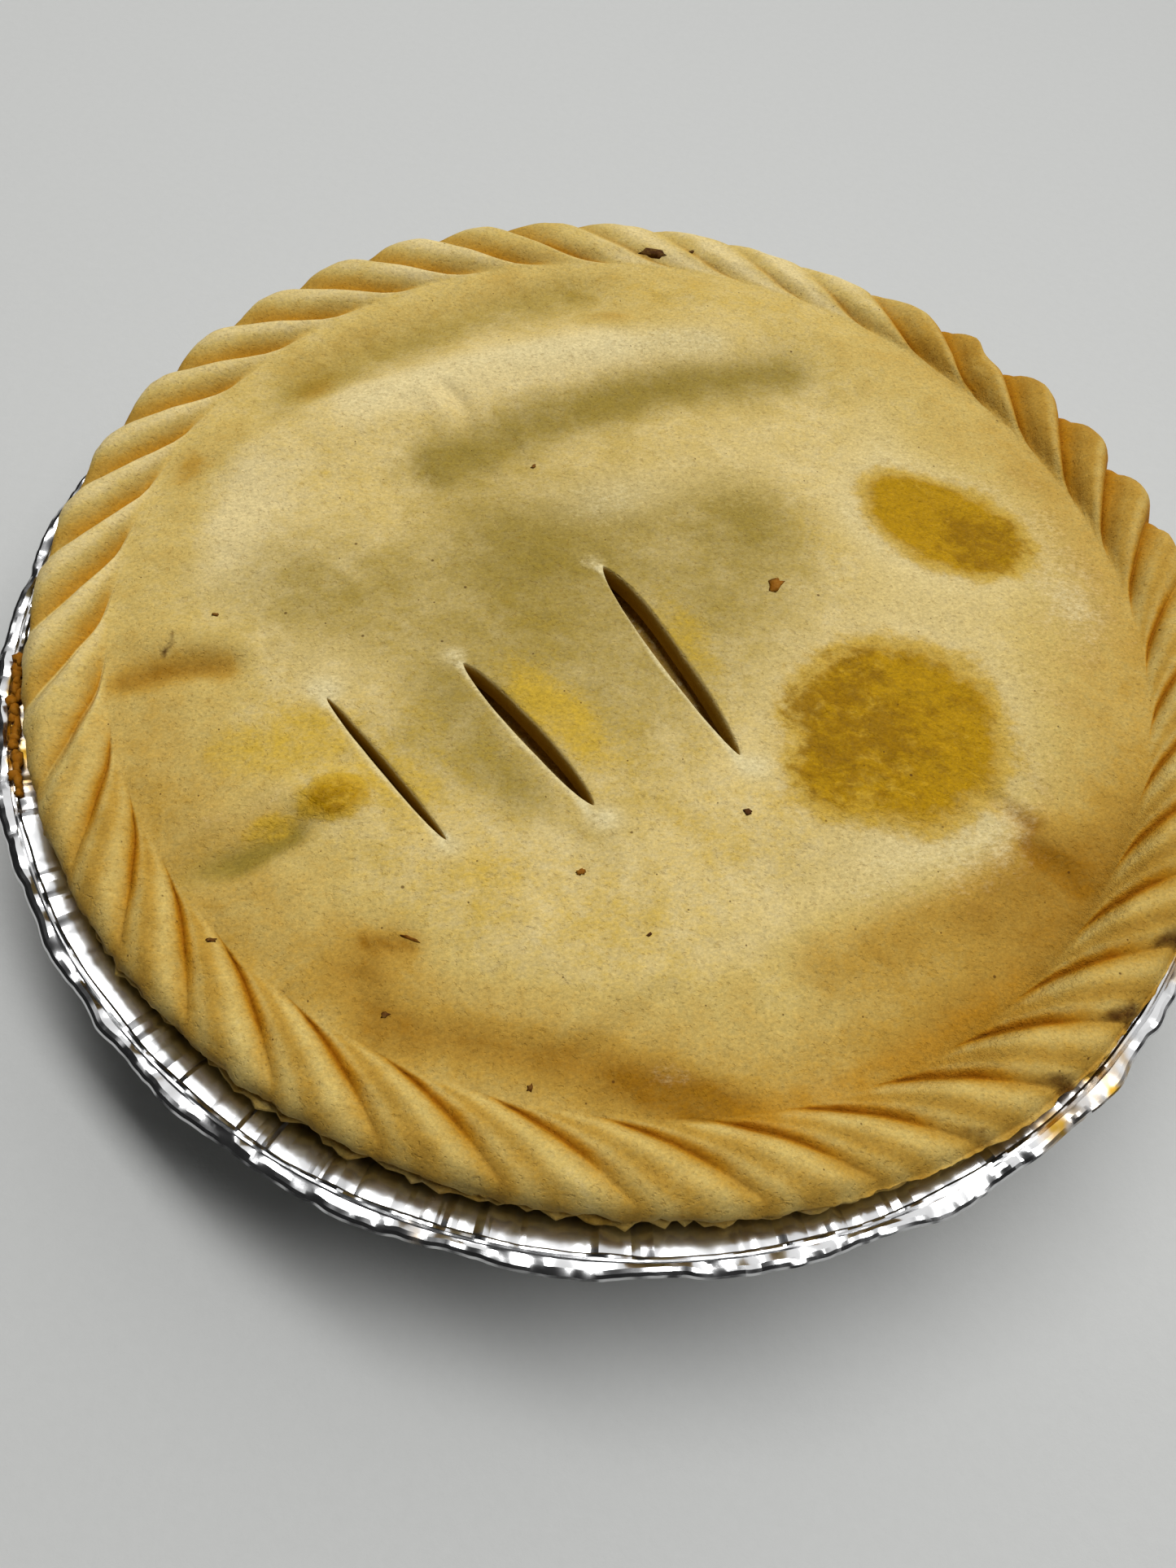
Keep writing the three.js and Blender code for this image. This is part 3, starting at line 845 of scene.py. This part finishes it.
GILD_OVALS = [
    (0.6, (-10, -24.5), (13, 5), -45, 3),
    (0.4, (9, -2), (12, 5), -52, 3),
    (0.6, (-52, -34), (9, 9)),
    (0.5, (-62, -40), (9, 6)),
    (0.5, (-34, -42), (10, 5), -30),
    (0.45, (0, -62), (30, 9)),
    (0.4, (-20, -54), (16, 8)),
    (0.4, (36, 22), (8, 14), 30),
    (0.3, (-8, -14), (46, 32), 15, 4),
    (0.3, (30, -34), (16, 10), 30),
    (0.35, (80, 34), (5, 14)),
    (0.35, (8, 88), (34, 7)),
    (0.3, (-60, 20), (8, 10)),
    (0.35, (20, -46), (14, 8), 20),
    (0.3, (20, -87), (12, 3.5), -4),
    (0.3, (-43, -45), (6, 4), 12),
    (-0.15, (-5, 2), (40, 16), 20, 4),
]
SOAK_OVALS = [
    (1, (60.5, 30.5), (16, 12), -14, 3.5),
    (0.5, (50, 37), (11, 8), -20, 3),
    (1, (49, -18), (20.5, 19.5), 30, 4),
    (0.35, (37, -32), (10, 7), 30, 3),
    (0.75, (-43.5, -46), (6.4, 4.4), 14, 4),
    (0.4, (-53, -53), (5, 3), 35, 3),
]
CORE_OVALS = [
    (0.9, (65, 29), (11, 8), -20),
    (1.1, (38, -20), (12, 14)),
    (0.3, (54, -14), (14, 15)),
    (0.3, (-44, -47), (6, 4)),
]
# Pale ends of the slits: partly flour, partly painted highlight where the cut's rounded ends catch
# the light
FLOUR_SPOTS = [(-50, -26), (-29, -15.5), (0, -43.5), (-8, 9.5), (23, -30), (-24, -52)]


def paint_sheet(mesh, x, y, radius):
    """Where the lid's sheet is fatty, floury, gilded or soaked."""
    halos = hills(x, y, [], HALO_OVALS)
    fat = hills(x, y, FAT_FOLDS, FAT_OVALS) - 0.4 * halos
    flour = hills(x, y, FLOUR_FOLDS, FLOUR_OVALS) + 0.8 * halos
    for spot in FLOUR_SPOTS:
        flour += 0.75 * blot(x, y, spot, (4, 3))
    paint(mesh, "fat", fat * (1 - 0.7 * ease(radius, 84, 94)))
    paint(mesh, "gild", hills(x, y, [], GILD_OVALS))
    paint(mesh, "flour", flour)
    paint(mesh, "soak", hills(x, y, [], SOAK_OVALS))
    paint(mesh, "core", hills(x, y, [], CORE_OVALS))


def paint_rope(mesh, x, y, radius, turned, phase, band, upper, sides):
    """Browning of the sheet's edge and of the crimps, and the butter baked into the grooves. On
    the crimps the browning also holds painted highlight on their ridges and painted shade on their
    slopes, grooves and valleys.
    """
    front, right, back, left = sides
    right_front = hill(turned, 322, 26, 4)
    edge = ease(band, 0.0, 0.1)

    left_edge = hill(turned, 158, 42, 4)
    toast = hills(x, y, TOAST_FOLDS, TOAST_OVALS)
    toast += 0.2 + 0.3 * ease(radius, 62, 90) * (1 - 0.75 * left_edge)
    toast += 0.35 * right_front * ease(radius, 80, 94)
    toast -= 0.2 * hill(turned, 85, 40, 3) * ease(radius, 60, 90)

    # Crimp tones: paler ridges are painted highlight, and browner slopes and valleys are painted
    # shade, laid over the crimps' own browning.
    ridge_highlight = 0.3 * np.exp(-(((phase - 0.22) / 0.12) ** 2))
    ridge_highlight += 0.38 * np.exp(-(((phase - 0.72) / 0.2) ** 2))
    front_tone = 0.72 - ridge_highlight + 0.08 * right_front
    left_tone = 0.12 + 0.6 * ease(phase, 0.4, 0.85) * (1 - ease(phase, 0.97, 1))
    right_tone = 0.86 - 0.45 * np.exp(-(((phase - 0.34) / 0.16) ** 2))
    right_tone -= 0.2 * np.exp(-(((phase - 0.66) / 0.12) ** 2))
    back_tone = 0.28 - 0.3 * np.sin(np.pi * np.clip(phase, 0, 1)) ** 2
    rope = front * front_tone + right * right_tone + back * back_tone + left * left_tone
    paint(mesh, "toast", toast * (1 - edge) + rope * edge)

    # Groove colour: browned butter, and on the crimps painted shade as well: a dark line in each
    # groove, a wedge down the left crimps' shaded slopes and the back right valleys.
    line = np.exp(-((np.minimum(phase, (1 - phase) * 1.8) / 0.15) ** 2))
    halo = np.exp(-phase / 0.24) + 0.5 * np.exp(-(1 - phase) / 0.08)
    length = ease(band, 0.0, 0.08) * (1 - 0.85 * ease(band, 0.3, 0.75))
    wedge = ease(phase, 0.62, 0.96) * (1 - ease(phase, 0.97, 1)) * (1 - ease(band, 0.55, 0.9))
    valley = (np.exp(-phase / 0.22) + np.exp(-(1 - phase) / 0.2)) * ease(band, 0.02, 0.2)
    rust = front * length * (0.62 * line + 0.45 * halo * (1 + 0.5 * right_front))
    rust += left * 0.55 * wedge * ease(band, 0, 0.1) + right * 0.9 * valley
    rust += back * 0.35 * line * length
    rust += 0.4 * fold(x, y, [(26, -88), (50, -76), (70, -60)], 3.5)
    crack = fold(x, y, [(-48, -48), (-43.5, -46.3), (-39, -45.2)], 0.7)
    paint(mesh, "rust", rust * upper + 0.8 * crack)

    burnt = right_front * ease(band, 0.5, 0.85) * np.exp(-(((phase - 0.12) / 0.2) ** 2)) * 0.75
    burnt += 0.55 * front * np.exp(-(((band - 0.07) / 0.05) ** 2)) * line
    burnt += 0.75 * fold(x, y, [(-79, -22.5), (-78, -20), (-78.6, -18)], 0.8)
    paint(mesh, "burnt", burnt)
    crumb = right_front * ease(radius, 90, 94) * (1 - ease(band, 0.25, 0.45))
    crumb += 0.4 * right * np.exp(-(((radius - 95.2) / 1.6) ** 2))
    paint(mesh, "crumb", crumb)


# ---- the case and the filling ----


def case_radius(z):
    return straight_wall(z) - CASE_CLEAR


def case_section():
    """Section of the pastry case: along its base, up its side, out to its lip and back inside."""
    base = FOIL_FLOOR + GAP
    top = CASE_TOP
    lip = top - LIP_THICK
    wall = CASE_WALL
    section = [(0, base), (30, base), (60, base), (case_radius(base) - CORNER * 1.2, base)]
    section += [(case_radius(base + CORNER * 0.5), base + CORNER * 0.5)]
    section += [(case_radius(z), z) for z in np.linspace(6, lip - 3, 12)]
    section += [(case_radius(lip) - 1.0, lip - 1.0), (case_radius(lip) + 0.8, lip - 0.2)]
    section += [(radius, lip) for radius in np.linspace(case_radius(lip) + 2, LIP_R - 0.8, 4)]
    section += [(LIP_R - 0.2, lip + 0.3), (LIP_R, lip + 0.75), (LIP_R - 0.3, top - 0.3)]
    section += [(radius, top) for radius in (LIP_R - 1, LIP_R - 3, 98, case_radius(top) - wall)]
    section += [(case_radius(z) - wall, z) for z in (24, 18, 12, base + CRUST + 2)]
    section += [(case_radius(base + CRUST) - wall - 3, base + CRUST), (40, base + CRUST)]
    section += [(0, base + CRUST)]
    return section


def place_case(mesh):
    """Moves the case's points to their own places and paints its browning."""
    flat = points_of(mesh)
    radius = np.hypot(flat[:, 0], flat[:, 1])
    angle = np.degrees(np.arctan2(flat[:, 1], flat[:, 0]))
    z = flat[:, 2]
    lip = CASE_TOP - LIP_THICK
    rising = ease(z, 20, lip)
    outward = ease(radius, case_radius(lip), LIP_R)
    small = wander(flat, 3.5, 11, 3)
    fine = wander(flat, 1.3, 12, 2)
    torn = around(angle, 2.2, 13, 3)
    flakes = np.maximum(around(angle, 5.0, 14, 2) - 0.05, 0) * 1.6
    reach = rim_radius(angle) - ROPE_OUT + 0.6 * torn + flakes + 0.7 * hill(angle, 245, 2.5)
    reach = reach + (2.0 + 0.9 * torn) * hill(angle, 258, 52, 4)
    reach = reach * outward + 0.4 * small * ease(z, 2, 6) * (1 - outward)
    lift = under_lift(angle, 0.55, radius) * rising + outward * (0.3 * fine - 0.25 * flakes)
    a = np.radians(angle)
    x = PIE_X + (radius + reach) * np.cos(a)
    y = PIE_Y + (radius + reach) * np.sin(a)
    z = z + lift
    x, y = inside_dish(x, y, z)
    move_points(mesh, x, y, z)
    paint(mesh, "toast", 0.3 + 0.25 * outward + 0.2 * small + 0.35 * (1 - ease(z, 12, 26)))
    paint(mesh, "flour", 0.25 * outward * (1 + fine))
    paint(mesh, "rust", 0.35 * (1 - outward) * ease(z, 4, 24) * (1 + small))
    paint(mesh, "burnt", 0.7 * hill(angle, 322, 12) * outward)


def filling_radius(z):
    return case_radius(z) - CASE_WALL - GAP * 2.2


def filling_section():
    base = FOIL_FLOOR + GAP + CRUST + GAP
    edge = FILLING_EDGE
    section = [(0, base), (40, base), (filling_radius(base) - 4, base)]
    section += [(filling_radius(z), z) for z in (base + 2.5, 12, 18, 24, edge - 2)]
    section += [(filling_radius(edge) - 3, edge)]
    section += [(radius, edge + 1) for radius in np.arange(84, 0, -1.4)]
    section += [(0, edge + 1)]
    return section


def place_filling(mesh):
    """Follows the lid's underside, with lumps under the slits."""
    flat = points_of(mesh)
    radius = np.hypot(flat[:, 0], flat[:, 1])
    angle = np.degrees(np.arctan2(flat[:, 1], flat[:, 0]))
    z = flat[:, 2]
    x = PIE_X + flat[:, 0]
    y = PIE_Y + flat[:, 1]
    edge = FILLING_EDGE
    ceiling = dome(radius, angle) - LID_THICK - GAP - 1
    lumps = facets(flat, 5.0, 21) * 2.0
    small = wander(flat, 1.8, 22, 2)
    hollow = sum(fold(x, y, [slit[0], slit[1]], 3.5) for slit in SLITS)
    top = np.maximum(ceiling, edge - 2) - 0.9 * hollow + (0.7 * lumps - 0.7 + 0.3 * small) * hollow
    side = z + under_lift(angle, 0.3, radius) * 0.8 * ease(z, edge - 3, edge)
    move_points(mesh, x, y, np.where(z > edge + 0.5, top, side))


# ---- the foil dish ----


def foil_section():
    """Section of the foil: out along the base, up the wall, over the hem and folded back under."""
    level = FOIL_SHEET
    section = [(0, level), (30, level), (60, level), (FOOT_R - CORNER - 2, level)]
    section += [(FOOT_R - CORNER + 2, level + 0.15), (wall_radius(1.4), 1.4 + level * 0.6)]
    section += [(wall_radius(z), z) for z in (4, 9, 14, 18, 21, 23, 24.3)]
    section += [(wall_radius(z), z) for z in (25.2, 25.9, 26.45, 26.9, 27.25, 27.55, 27.8, 28.05)]
    section += [(CREASE_R - 0.3, CREASE_Z - 0.2), (CREASE_R, CREASE_Z + 0.25)]
    section += [(CREASE_R + 0.3, CREASE_Z + 0.3), (CREASE_R + 0.6, CREASE_Z - 0.05)]
    section += [(CREASE_R + 0.9, CREASE_Z + 0.3), (CREASE_R + 1.2, CREASE_Z + 0.35)]
    section += [(CREASE_R + 1.8, CREASE_Z + 0.5), (CREASE_R + 2.4, CREASE_Z + 0.45)]
    section += [(CREASE_R + 2.9, CREASE_Z + 0.25), (HEM_R - 0.1, CREASE_Z - 0.1)]
    section += [(HEM_R - 0.2, CREASE_Z - 0.5), (HEM_R - 1.0, CREASE_Z - 0.7)]
    section += [(CREASE_R + 1.2, CREASE_Z - 0.6)]
    return section


def strips(angle, width, seed):
    """Flat strips of uneven width side by side, folded up and down at random, as a height."""
    count = round(360 / width)
    folds = np.random.default_rng(seed).uniform(-1, 1, count)
    along = (angle + 0.9 * width * around(angle, 9.0, seed, 2)) % 360 / width
    strip = np.floor(along).astype(int)
    part = along - strip
    return folds[strip % count] * (1 - part) + folds[(strip + 1) % count] * part


def place_foil(mesh):
    """Pleats the wall, raises the crease lines and crumples the hem."""
    flat = points_of(mesh)
    radius = np.hypot(flat[:, 0], flat[:, 1])
    angle = np.degrees(np.arctan2(flat[:, 1], flat[:, 0]))
    z = flat[:, 2]
    hem = ease(radius, CREASE_R + 0.6, CREASE_R + 1.8)
    rim = ease(z, CREASE_Z * 0.6, CREASE_Z - 1)
    on_wall = ease(radius, FOOT_R, FOOT_R + 3) * (1 - ease(radius, CREASE_R - 0.2, CREASE_R + 0.6))
    wall = on_wall * (0.35 + 0.65 * ease(z, 8, CREASE_Z - 3))

    slant = angle + around(angle, 11.0, 31, 2) * 0.22 * (CREASE_Z - z)
    groups = np.clip(around(angle, 16.0, 32, 2) * 3 + 0.75, 0.12, 1)
    pleats = groups * (0.75 * strips(slant, 1.15, 33) + 0.5 * strips(slant, 0.6, 34))
    buckle = 0.45 * wander(flat, 15, 35, 2)
    level = ease(z, 23, 26.5)
    push = wall * (pleats * PLEAT_DEPTH * (1 - level) + buckle)
    tilt = wall * level * 0.62 * pleats

    crumple = facets(flat, 6.0, 36) - 0.35
    creases = np.abs(wander(flat, 4.6, 42, 1))
    folds = strips(angle + 0.5 * (radius - CREASE_R) * around(angle, 8.0, 43, 2), 1.4, 37)
    hem_z = hem * (0.42 * crumple + 0.36 * folds + 0.4 * creases)
    hem_r = hem * (0.35 * around(angle, 4.0, 38, 2) + 0.4 * around(angle, 12.0, 39, 2))
    bulge = hem_bulge(angle) * (hem + rim * hill(angle, 21, 8))
    ripple = 0.15 * strips(angle, 3.1, 41) * ease(radius, CREASE_R - 0.6, CREASE_R) * (1 - hem)

    a = np.radians(angle)
    radius = radius + push + hem_r + bulge
    z = z + hem_lift(angle) * rim + hem_z + ripple + tilt
    move_points(mesh, radius * np.cos(a), radius * np.sin(a), np.maximum(z, FOIL_SHEET))

    on_rim = ease(z, CREASE_Z - 4, CREASE_Z)
    stain = 0.7 * hill(angle, 319, 4) * on_rim + 0.6 * hill(angle, 312, 2.5) * on_rim
    stain += 0.5 * hill(angle, 332, 5) * on_rim + 0.4 * hill(angle, 260, 1.5) * on_rim
    stain += 0.6 * hill(angle, 239, 1.6) * ease(z, 16, 22) * (1 - ease(z, 24, 27))
    stain += 0.8 * hill(angle, 199, 9) * ease(z, 20, 26) * (1 - hem)
    paint(mesh, "stain", stain)


# ---- flecks and ooze ----

# Flakes and charred specks on the lid: place, length, width, heading in degrees, and how dark.
FLECKS = [
    ((26.0, 10.0), 3.6, 2.2, 70, 0.15),
    ((23.0, -39.0), 1.5, 1.2, 10, 1.0),
    ((-2.7, -53.5), 1.9, 1.1, 20, 0.3),
    ((-28.8, -80.0), 1.3, 0.9, 0, 0.9),
    ((-6.0, -88.0), 1.1, 0.9, 60, 0.8),
    ((9.0, -62.5), 0.9, 0.5, 30, 1.0),
    ((-57.0, -72.0), 1.5, 0.9, 30, 0.9),
    ((-72.0, -13.0), 1.2, 0.8, 0, 0.7),
    ((-22.0, 32.0), 1.2, 0.8, 80, 0.7),
    ((-4.6, 100.6), 4.4, 1.5, -4, 1.0),
    ((4.0, 103.0), 1.1, 0.7, 0, 1.0),
    ((-27.5, -67.8), 3.0, 0.5, -15, 0.5),
]


def top_of(piece, x, y):
    """Height of a finished piece's upper surface at a place, in millimetres."""
    found, place, _, _ = piece.ray_cast(Vector((x * MM, y * MM, 1)), Vector((0, 0, -1)))
    if not found:
        raise RuntimeError(f"nothing of {piece.name} lies under {x:.1f}, {y:.1f}")
    return place.z / MM


def add_fleck(shape, centre, size, heading, seed, height):
    """One small flake: a flattened ball with a crooked outline, half sunk in the crust."""
    grown = bmesh.ops.create_icosphere(shape, subdivisions=2, radius=0.5)["verts"]
    c, s = math.cos(math.radians(heading)), math.sin(math.radians(heading))
    for vert in grown:
        crooked = 1 + 0.9 * noise.noise(vert.co * 3.5 + Vector((seed * 3.1, 0, 0)))
        u, v = vert.co.x * size[0] * crooked, vert.co.y * size[1] * crooked
        x, y = centre[0] + u * c - v * s, centre[1] + u * s + v * c
        vert.co = (x, y, height(x, y) + vert.co.z * size[2] + 0.05)
    return grown


def build_flecks():
    lid = bpy.data.objects["lid"]
    shape = bmesh.new()
    layer = shape.verts.layers.float.new("char")
    for seed, (centre, long, wide, heading, dark) in enumerate(FLECKS):
        size = (long, wide, 0.4)
        grown = add_fleck(shape, centre, size, heading, seed, lambda x, y: top_of(lid, x, y))
        for vert in grown:
            vert[layer] = dark
    bmesh.ops.recalc_face_normals(shape, faces=shape.faces)
    return to_object(shape, "flecks")


def build_ooze():
    """Brown juice that has baked on between the crust and the foil at the left."""
    shape = bmesh.new()
    draw = random.Random(5)
    for angle in np.arange(192, 207, 0.8):
        radius = 108.2 + draw.uniform(-0.5, 0.5)
        a = math.radians(angle)
        centre = (radius * math.cos(a), radius * math.sin(a))
        level = CREASE_Z + draw.uniform(0.2, 1.0)
        size = (draw.uniform(2.0, 3.2), draw.uniform(1.2, 2.0), draw.uniform(1.2, 2.2))
        add_fleck(shape, centre, size, angle + 90, round(angle * 7), lambda x, y: level)
    bmesh.ops.recalc_face_normals(shape, faces=shape.faces)
    return to_object(shape, "ooze")


# ---- what a user would change ----


def tone(label, code, note):
    return bpy.props.FloatVectorProperty(
        name=label, description=note, subtype="COLOR", size=3, min=0, max=1, default=linear(code)
    )


class PieTones(bpy.types.PropertyGroup):
    """Colours of the baked pie."""

    # On the crimps the crust tones also give painted highlight on the ridges and painted shade on
    # the slopes and valleys.
    pale: tone("Pale crust", "dfca90", "Crust that the oven has hardly coloured")
    golden: tone("Golden crust", "ccb166", "The lid's middle tone")
    baked: tone("Baked crust", "b9923e", "The browner ring and the crimps' backs")
    brown: tone("Brown crust", "936512", "Well browned edges")
    fat: tone("Fat", "8e782c", "Where fat has soaked up into the lid")
    gild: tone("Yellow fat", "c8a430", "Bright yellow smears of fat")
    flour: tone("Floury crust", "decf9e", "Dry floury places")
    soaked: tone("Soaked crust", "b0860a", "The two wet spots")
    amber: tone("Amber crust", "c49e34", "Drier places in the wet spots")
    core: tone("Soaked core", "8e6602", "The darkest part of the wet spots")
    butter: tone("Butter", "b47c12", "Golden rim of the grooves")
    # The groove tone also serves as painted shade in and beside the crimps' grooves.
    rust: tone("Groove", "965c08", "Browned butter in the grooves")
    burnt: tone("Burnt", "4a2a0c", "Charred flecks and edges")
    # From lip to foot the slit tones are moist crumb, with a painted highlight at the lip and
    # painted shade lower in the cut.
    lip: tone("Slit lip", "d2bb7c", "The cut's edge")
    crumb: tone("Slit crumb", "b89848", "The crumb just under the crust")
    moist: tone("Slit wall", "a88420", "The moist part of the cut")
    dark: tone("Slit foot", "a88624", "The foot of the cut")
    gravy: tone("Gravy", "a88428", "Gravy between the pieces")
    meat: tone("Meat", "b08c48", "Minced meat")
    potato: tone("Potato", "c8b078", "Mashed potato")
    bright: tone("Bright foil", "e2e2e2", "Clean foil")
    dull: tone("Dull foil", "b8b9bc", "Hazy foil")
    stain: tone("Foil stain", "b08a32", "Baked-on fat on the foil")


class PieStage(bpy.types.PropertyGroup):
    """The floor, the lights and the camera."""

    floor: tone("Floor", "c9cac8", "Colour of the floor")
    key_power: bpy.props.FloatProperty(
        name="Key light",
        description="Power of the large soft light",
        default=11.6,
        min=0,
        unit="POWER",
    )
    sky_strength: bpy.props.FloatProperty(
        name="Fill", description="Strength of the room's own light", default=1.0, min=0, max=5
    )


# ---- operators ----


class PIE_OT_lid(bpy.types.Operator):
    """Adds the slit lid with its crimped rim"""

    bl_idname = "pie.lid"
    bl_label = "Pastry lid"

    def execute(self, context):
        lid = to_object(spun(lid_section(), CRIMPS * COLUMNS_PER_CRIMP), "lid")
        cut_slits(lid)
        place_lid(lid.data)
        crust = pastry_material("lid_crust", context.scene.pie_tones)
        finish_piece(lid, "pastry_lid", crust)
        return {"FINISHED"}


class PIE_OT_case(bpy.types.Operator):
    """Adds the pastry case with its ragged lip"""

    bl_idname = "pie.case"
    bl_label = "Pastry case"

    def execute(self, context):
        case = to_object(spun(case_section(), CASE_COLUMNS), "case")
        place_case(case.data)
        crust = pastry_material("case_crust", context.scene.pie_tones)
        finish_piece(case, "pastry_case", crust)
        return {"FINISHED"}


class PIE_OT_filling(bpy.types.Operator):
    """Adds the meat and potato filling"""

    bl_idname = "pie.filling"
    bl_label = "Filling"

    def execute(self, context):
        stuffing = to_object(spun(filling_section(), FILLING_COLUMNS), "stuffing")
        place_filling(stuffing.data)
        moist = filling_material("meat_and_potato", context.scene.pie_tones)
        finish_piece(stuffing, "filling", moist)
        return {"FINISHED"}


class PIE_OT_foil(bpy.types.Operator):
    """Adds the pleated foil dish"""

    bl_idname = "pie.foil"
    bl_label = "Foil dish"

    def execute(self, context):
        foil = to_object(spun(foil_section(), DISH_COLUMNS), "foil")
        place_foil(foil.data)
        sheet = foil.modifiers.new("sheet", "SOLIDIFY")
        sheet.thickness = FOIL_SHEET
        sheet.offset = -1
        apply_modifiers(foil)
        metal = foil_material("aluminium", context.scene.pie_tones)
        finish_piece(foil, "foil_dish", metal)
        foil.data.set_sharp_from_angle(angle=math.radians(FOIL_SHARP))
        return {"FINISHED"}


class PIE_OT_flecks(bpy.types.Operator):
    """Adds the flakes and charred specks on the lid, and the juice baked on at the left"""

    bl_idname = "pie.flecks"
    bl_label = "Flecks and juice"

    def execute(self, context):
        charred = fleck_material("charred_crust", context.scene.pie_tones)
        finish_piece(build_flecks(), None, charred)
        finish_piece(build_ooze(), None, charred)
        return {"FINISHED"}


# Camera, fitted to the photo: its place in metres, its angles in degrees, and the photo's height
# and focal length in pixels
CAMERA_PLACE = (-0.003444, -0.137775, 0.206684)
CAMERA_DOWN = 59.36
CAMERA_ROLL = 7.51
PHOTO_HEIGHT = 1927
FOCAL_PIXELS = 1470
# Room: where it is brightest, in degrees round and up, and the least light from anywhere
GLOW = (62, 38)
GLOOM = 0.015
# Key light: degrees round and up, distance and size in metres
KEY = (52, 80, 1.1, (1.7, 0.25))
FLOOR_R = 1.6  # metres


def add_camera(scene):
    """The camera looks down at the pie from close in front, turned a little."""
    down = math.radians(CAMERA_DOWN)
    roll = math.radians(CAMERA_ROLL)
    camera = bpy.data.cameras.new("camera")
    camera.sensor_width = 36
    camera.lens = camera.sensor_width * FOCAL_PIXELS / PHOTO_HEIGHT
    camera.clip_start = 0.01
    holder = bpy.data.objects.new("camera", camera)
    scene.collection.objects.link(holder)
    place = Matrix.Translation(CAMERA_PLACE)
    tilt = Matrix.Rotation(math.radians(90) - down, 4, "X")
    holder.matrix_world = place @ tilt @ Matrix.Rotation(roll, 4, "Z")
    scene.camera = holder


def add_area_light(scene, name, azimuth, elevation, distance, size, power):
    """A soft light that looks at the pie; it doesn't show in the picture itself."""
    light = bpy.data.lights.new(name, "AREA")
    light.shape = "RECTANGLE"
    light.size, light.size_y = size
    light.energy = power
    holder = bpy.data.objects.new(name, light)
    scene.collection.objects.link(holder)
    a, e = math.radians(azimuth), math.radians(elevation)
    way = Vector((math.cos(a) * math.cos(e), math.sin(a) * math.cos(e), math.sin(e)))
    holder.location = way * distance
    holder.rotation_euler = way.to_track_quat("Z", "Y").to_euler()


def light_room(tree, strength):
    """A room that is bright above and behind the pie, and dark in front of it."""
    sky = tree.nodes["Background"]
    way = Wire(tree, tree.nodes.new("ShaderNodeTexCoord").outputs["Generated"])
    a, e = (math.radians(part) for part in GLOW)
    glow = (math.cos(a) * math.cos(e), math.sin(a) * math.cos(e), math.sin(e))
    facing = way.node("ShaderNodeVectorMath", {"operation": "DOT_PRODUCT"}, {0: way, 1: glow}, 1)
    level = facing.step(0.5, 0.98) * strength + GLOOM
    sky.inputs["Color"].default_value = (1.0, 1.0, 1.0, 1)
    tree.links.new(sky.inputs["Strength"], level.socket)


class PIE_OT_stage(bpy.types.Operator):
    """Adds the pale floor, the soft lights and the camera"""

    bl_idname = "pie.stage"
    bl_label = "Stage"

    def execute(self, context):
        scene = context.scene
        stage = scene.pie_stage
        scene.view_settings.view_transform = "Standard"
        add_camera(scene)

        shape = bmesh.new()
        bmesh.ops.create_circle(shape, cap_ends=True, segments=96, radius=FLOOR_R)
        floor = to_object(shape, "floor")
        paper, shader, place = new_material("pale_floor", Roughness=0.85)
        grain = place.stretch((2.2, 2.2, 2.2)).noise(4, 0.7)
        light = tuple(stage.floor)
        dark = tuple(part * 0.94 for part in light)
        connect(shader, Base_Color=grain.mix(dark, light), Normal=place.bump(0.05, grain))
        floor.data.materials.append(paper)
        floor.data.transform(Matrix.Translation((0, 0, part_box("foil_dish")[0].z - 0.0002)))

        world = bpy.data.worlds.new("room")
        scene.world = world
        world.use_nodes = True
        light_room(world.node_tree, stage.sky_strength)
        add_area_light(scene, "key", *KEY, stage.key_power)
        return {"FINISHED"}


OPERATORS = (
    PIE_OT_foil,
    PIE_OT_case,
    PIE_OT_filling,
    PIE_OT_lid,
    PIE_OT_flecks,
    PIE_OT_stage,
)


class PIE_PT_panel(bpy.types.Panel):
    """The pie's pieces and colours"""

    bl_idname = "PIE_PT_panel"
    bl_label = "Meat and potato pie"
    bl_space_type = "VIEW_3D"
    bl_region_type = "UI"
    bl_category = "Pie"

    def draw(self, context):
        for operator in OPERATORS:
            self.layout.operator(operator.bl_idname)
        for group in (context.scene.pie_tones, context.scene.pie_stage):
            for key in group.bl_rna.properties.keys():
                if key not in {"rna_type", "name"}:
                    self.layout.prop(group, key)


CLASSES = (PieTones, PieStage, *OPERATORS, PIE_PT_panel)


def register():
    for item in CLASSES:
        bpy.utils.register_class(item)
    bpy.types.Scene.pie_tones = bpy.props.PointerProperty(type=PieTones)
    bpy.types.Scene.pie_stage = bpy.props.PointerProperty(type=PieStage)


def unregister():
    del bpy.types.Scene.pie_stage
    del bpy.types.Scene.pie_tones
    for item in reversed(CLASSES):
        bpy.utils.unregister_class(item)


def main():
    register()
    bpy.ops.pie.foil()
    bpy.ops.pie.case()
    bpy.ops.pie.filling()
    bpy.ops.pie.lid()
    bpy.ops.pie.flecks()
    bpy.ops.pie.stage()


if __name__ == "__main__":
    main()
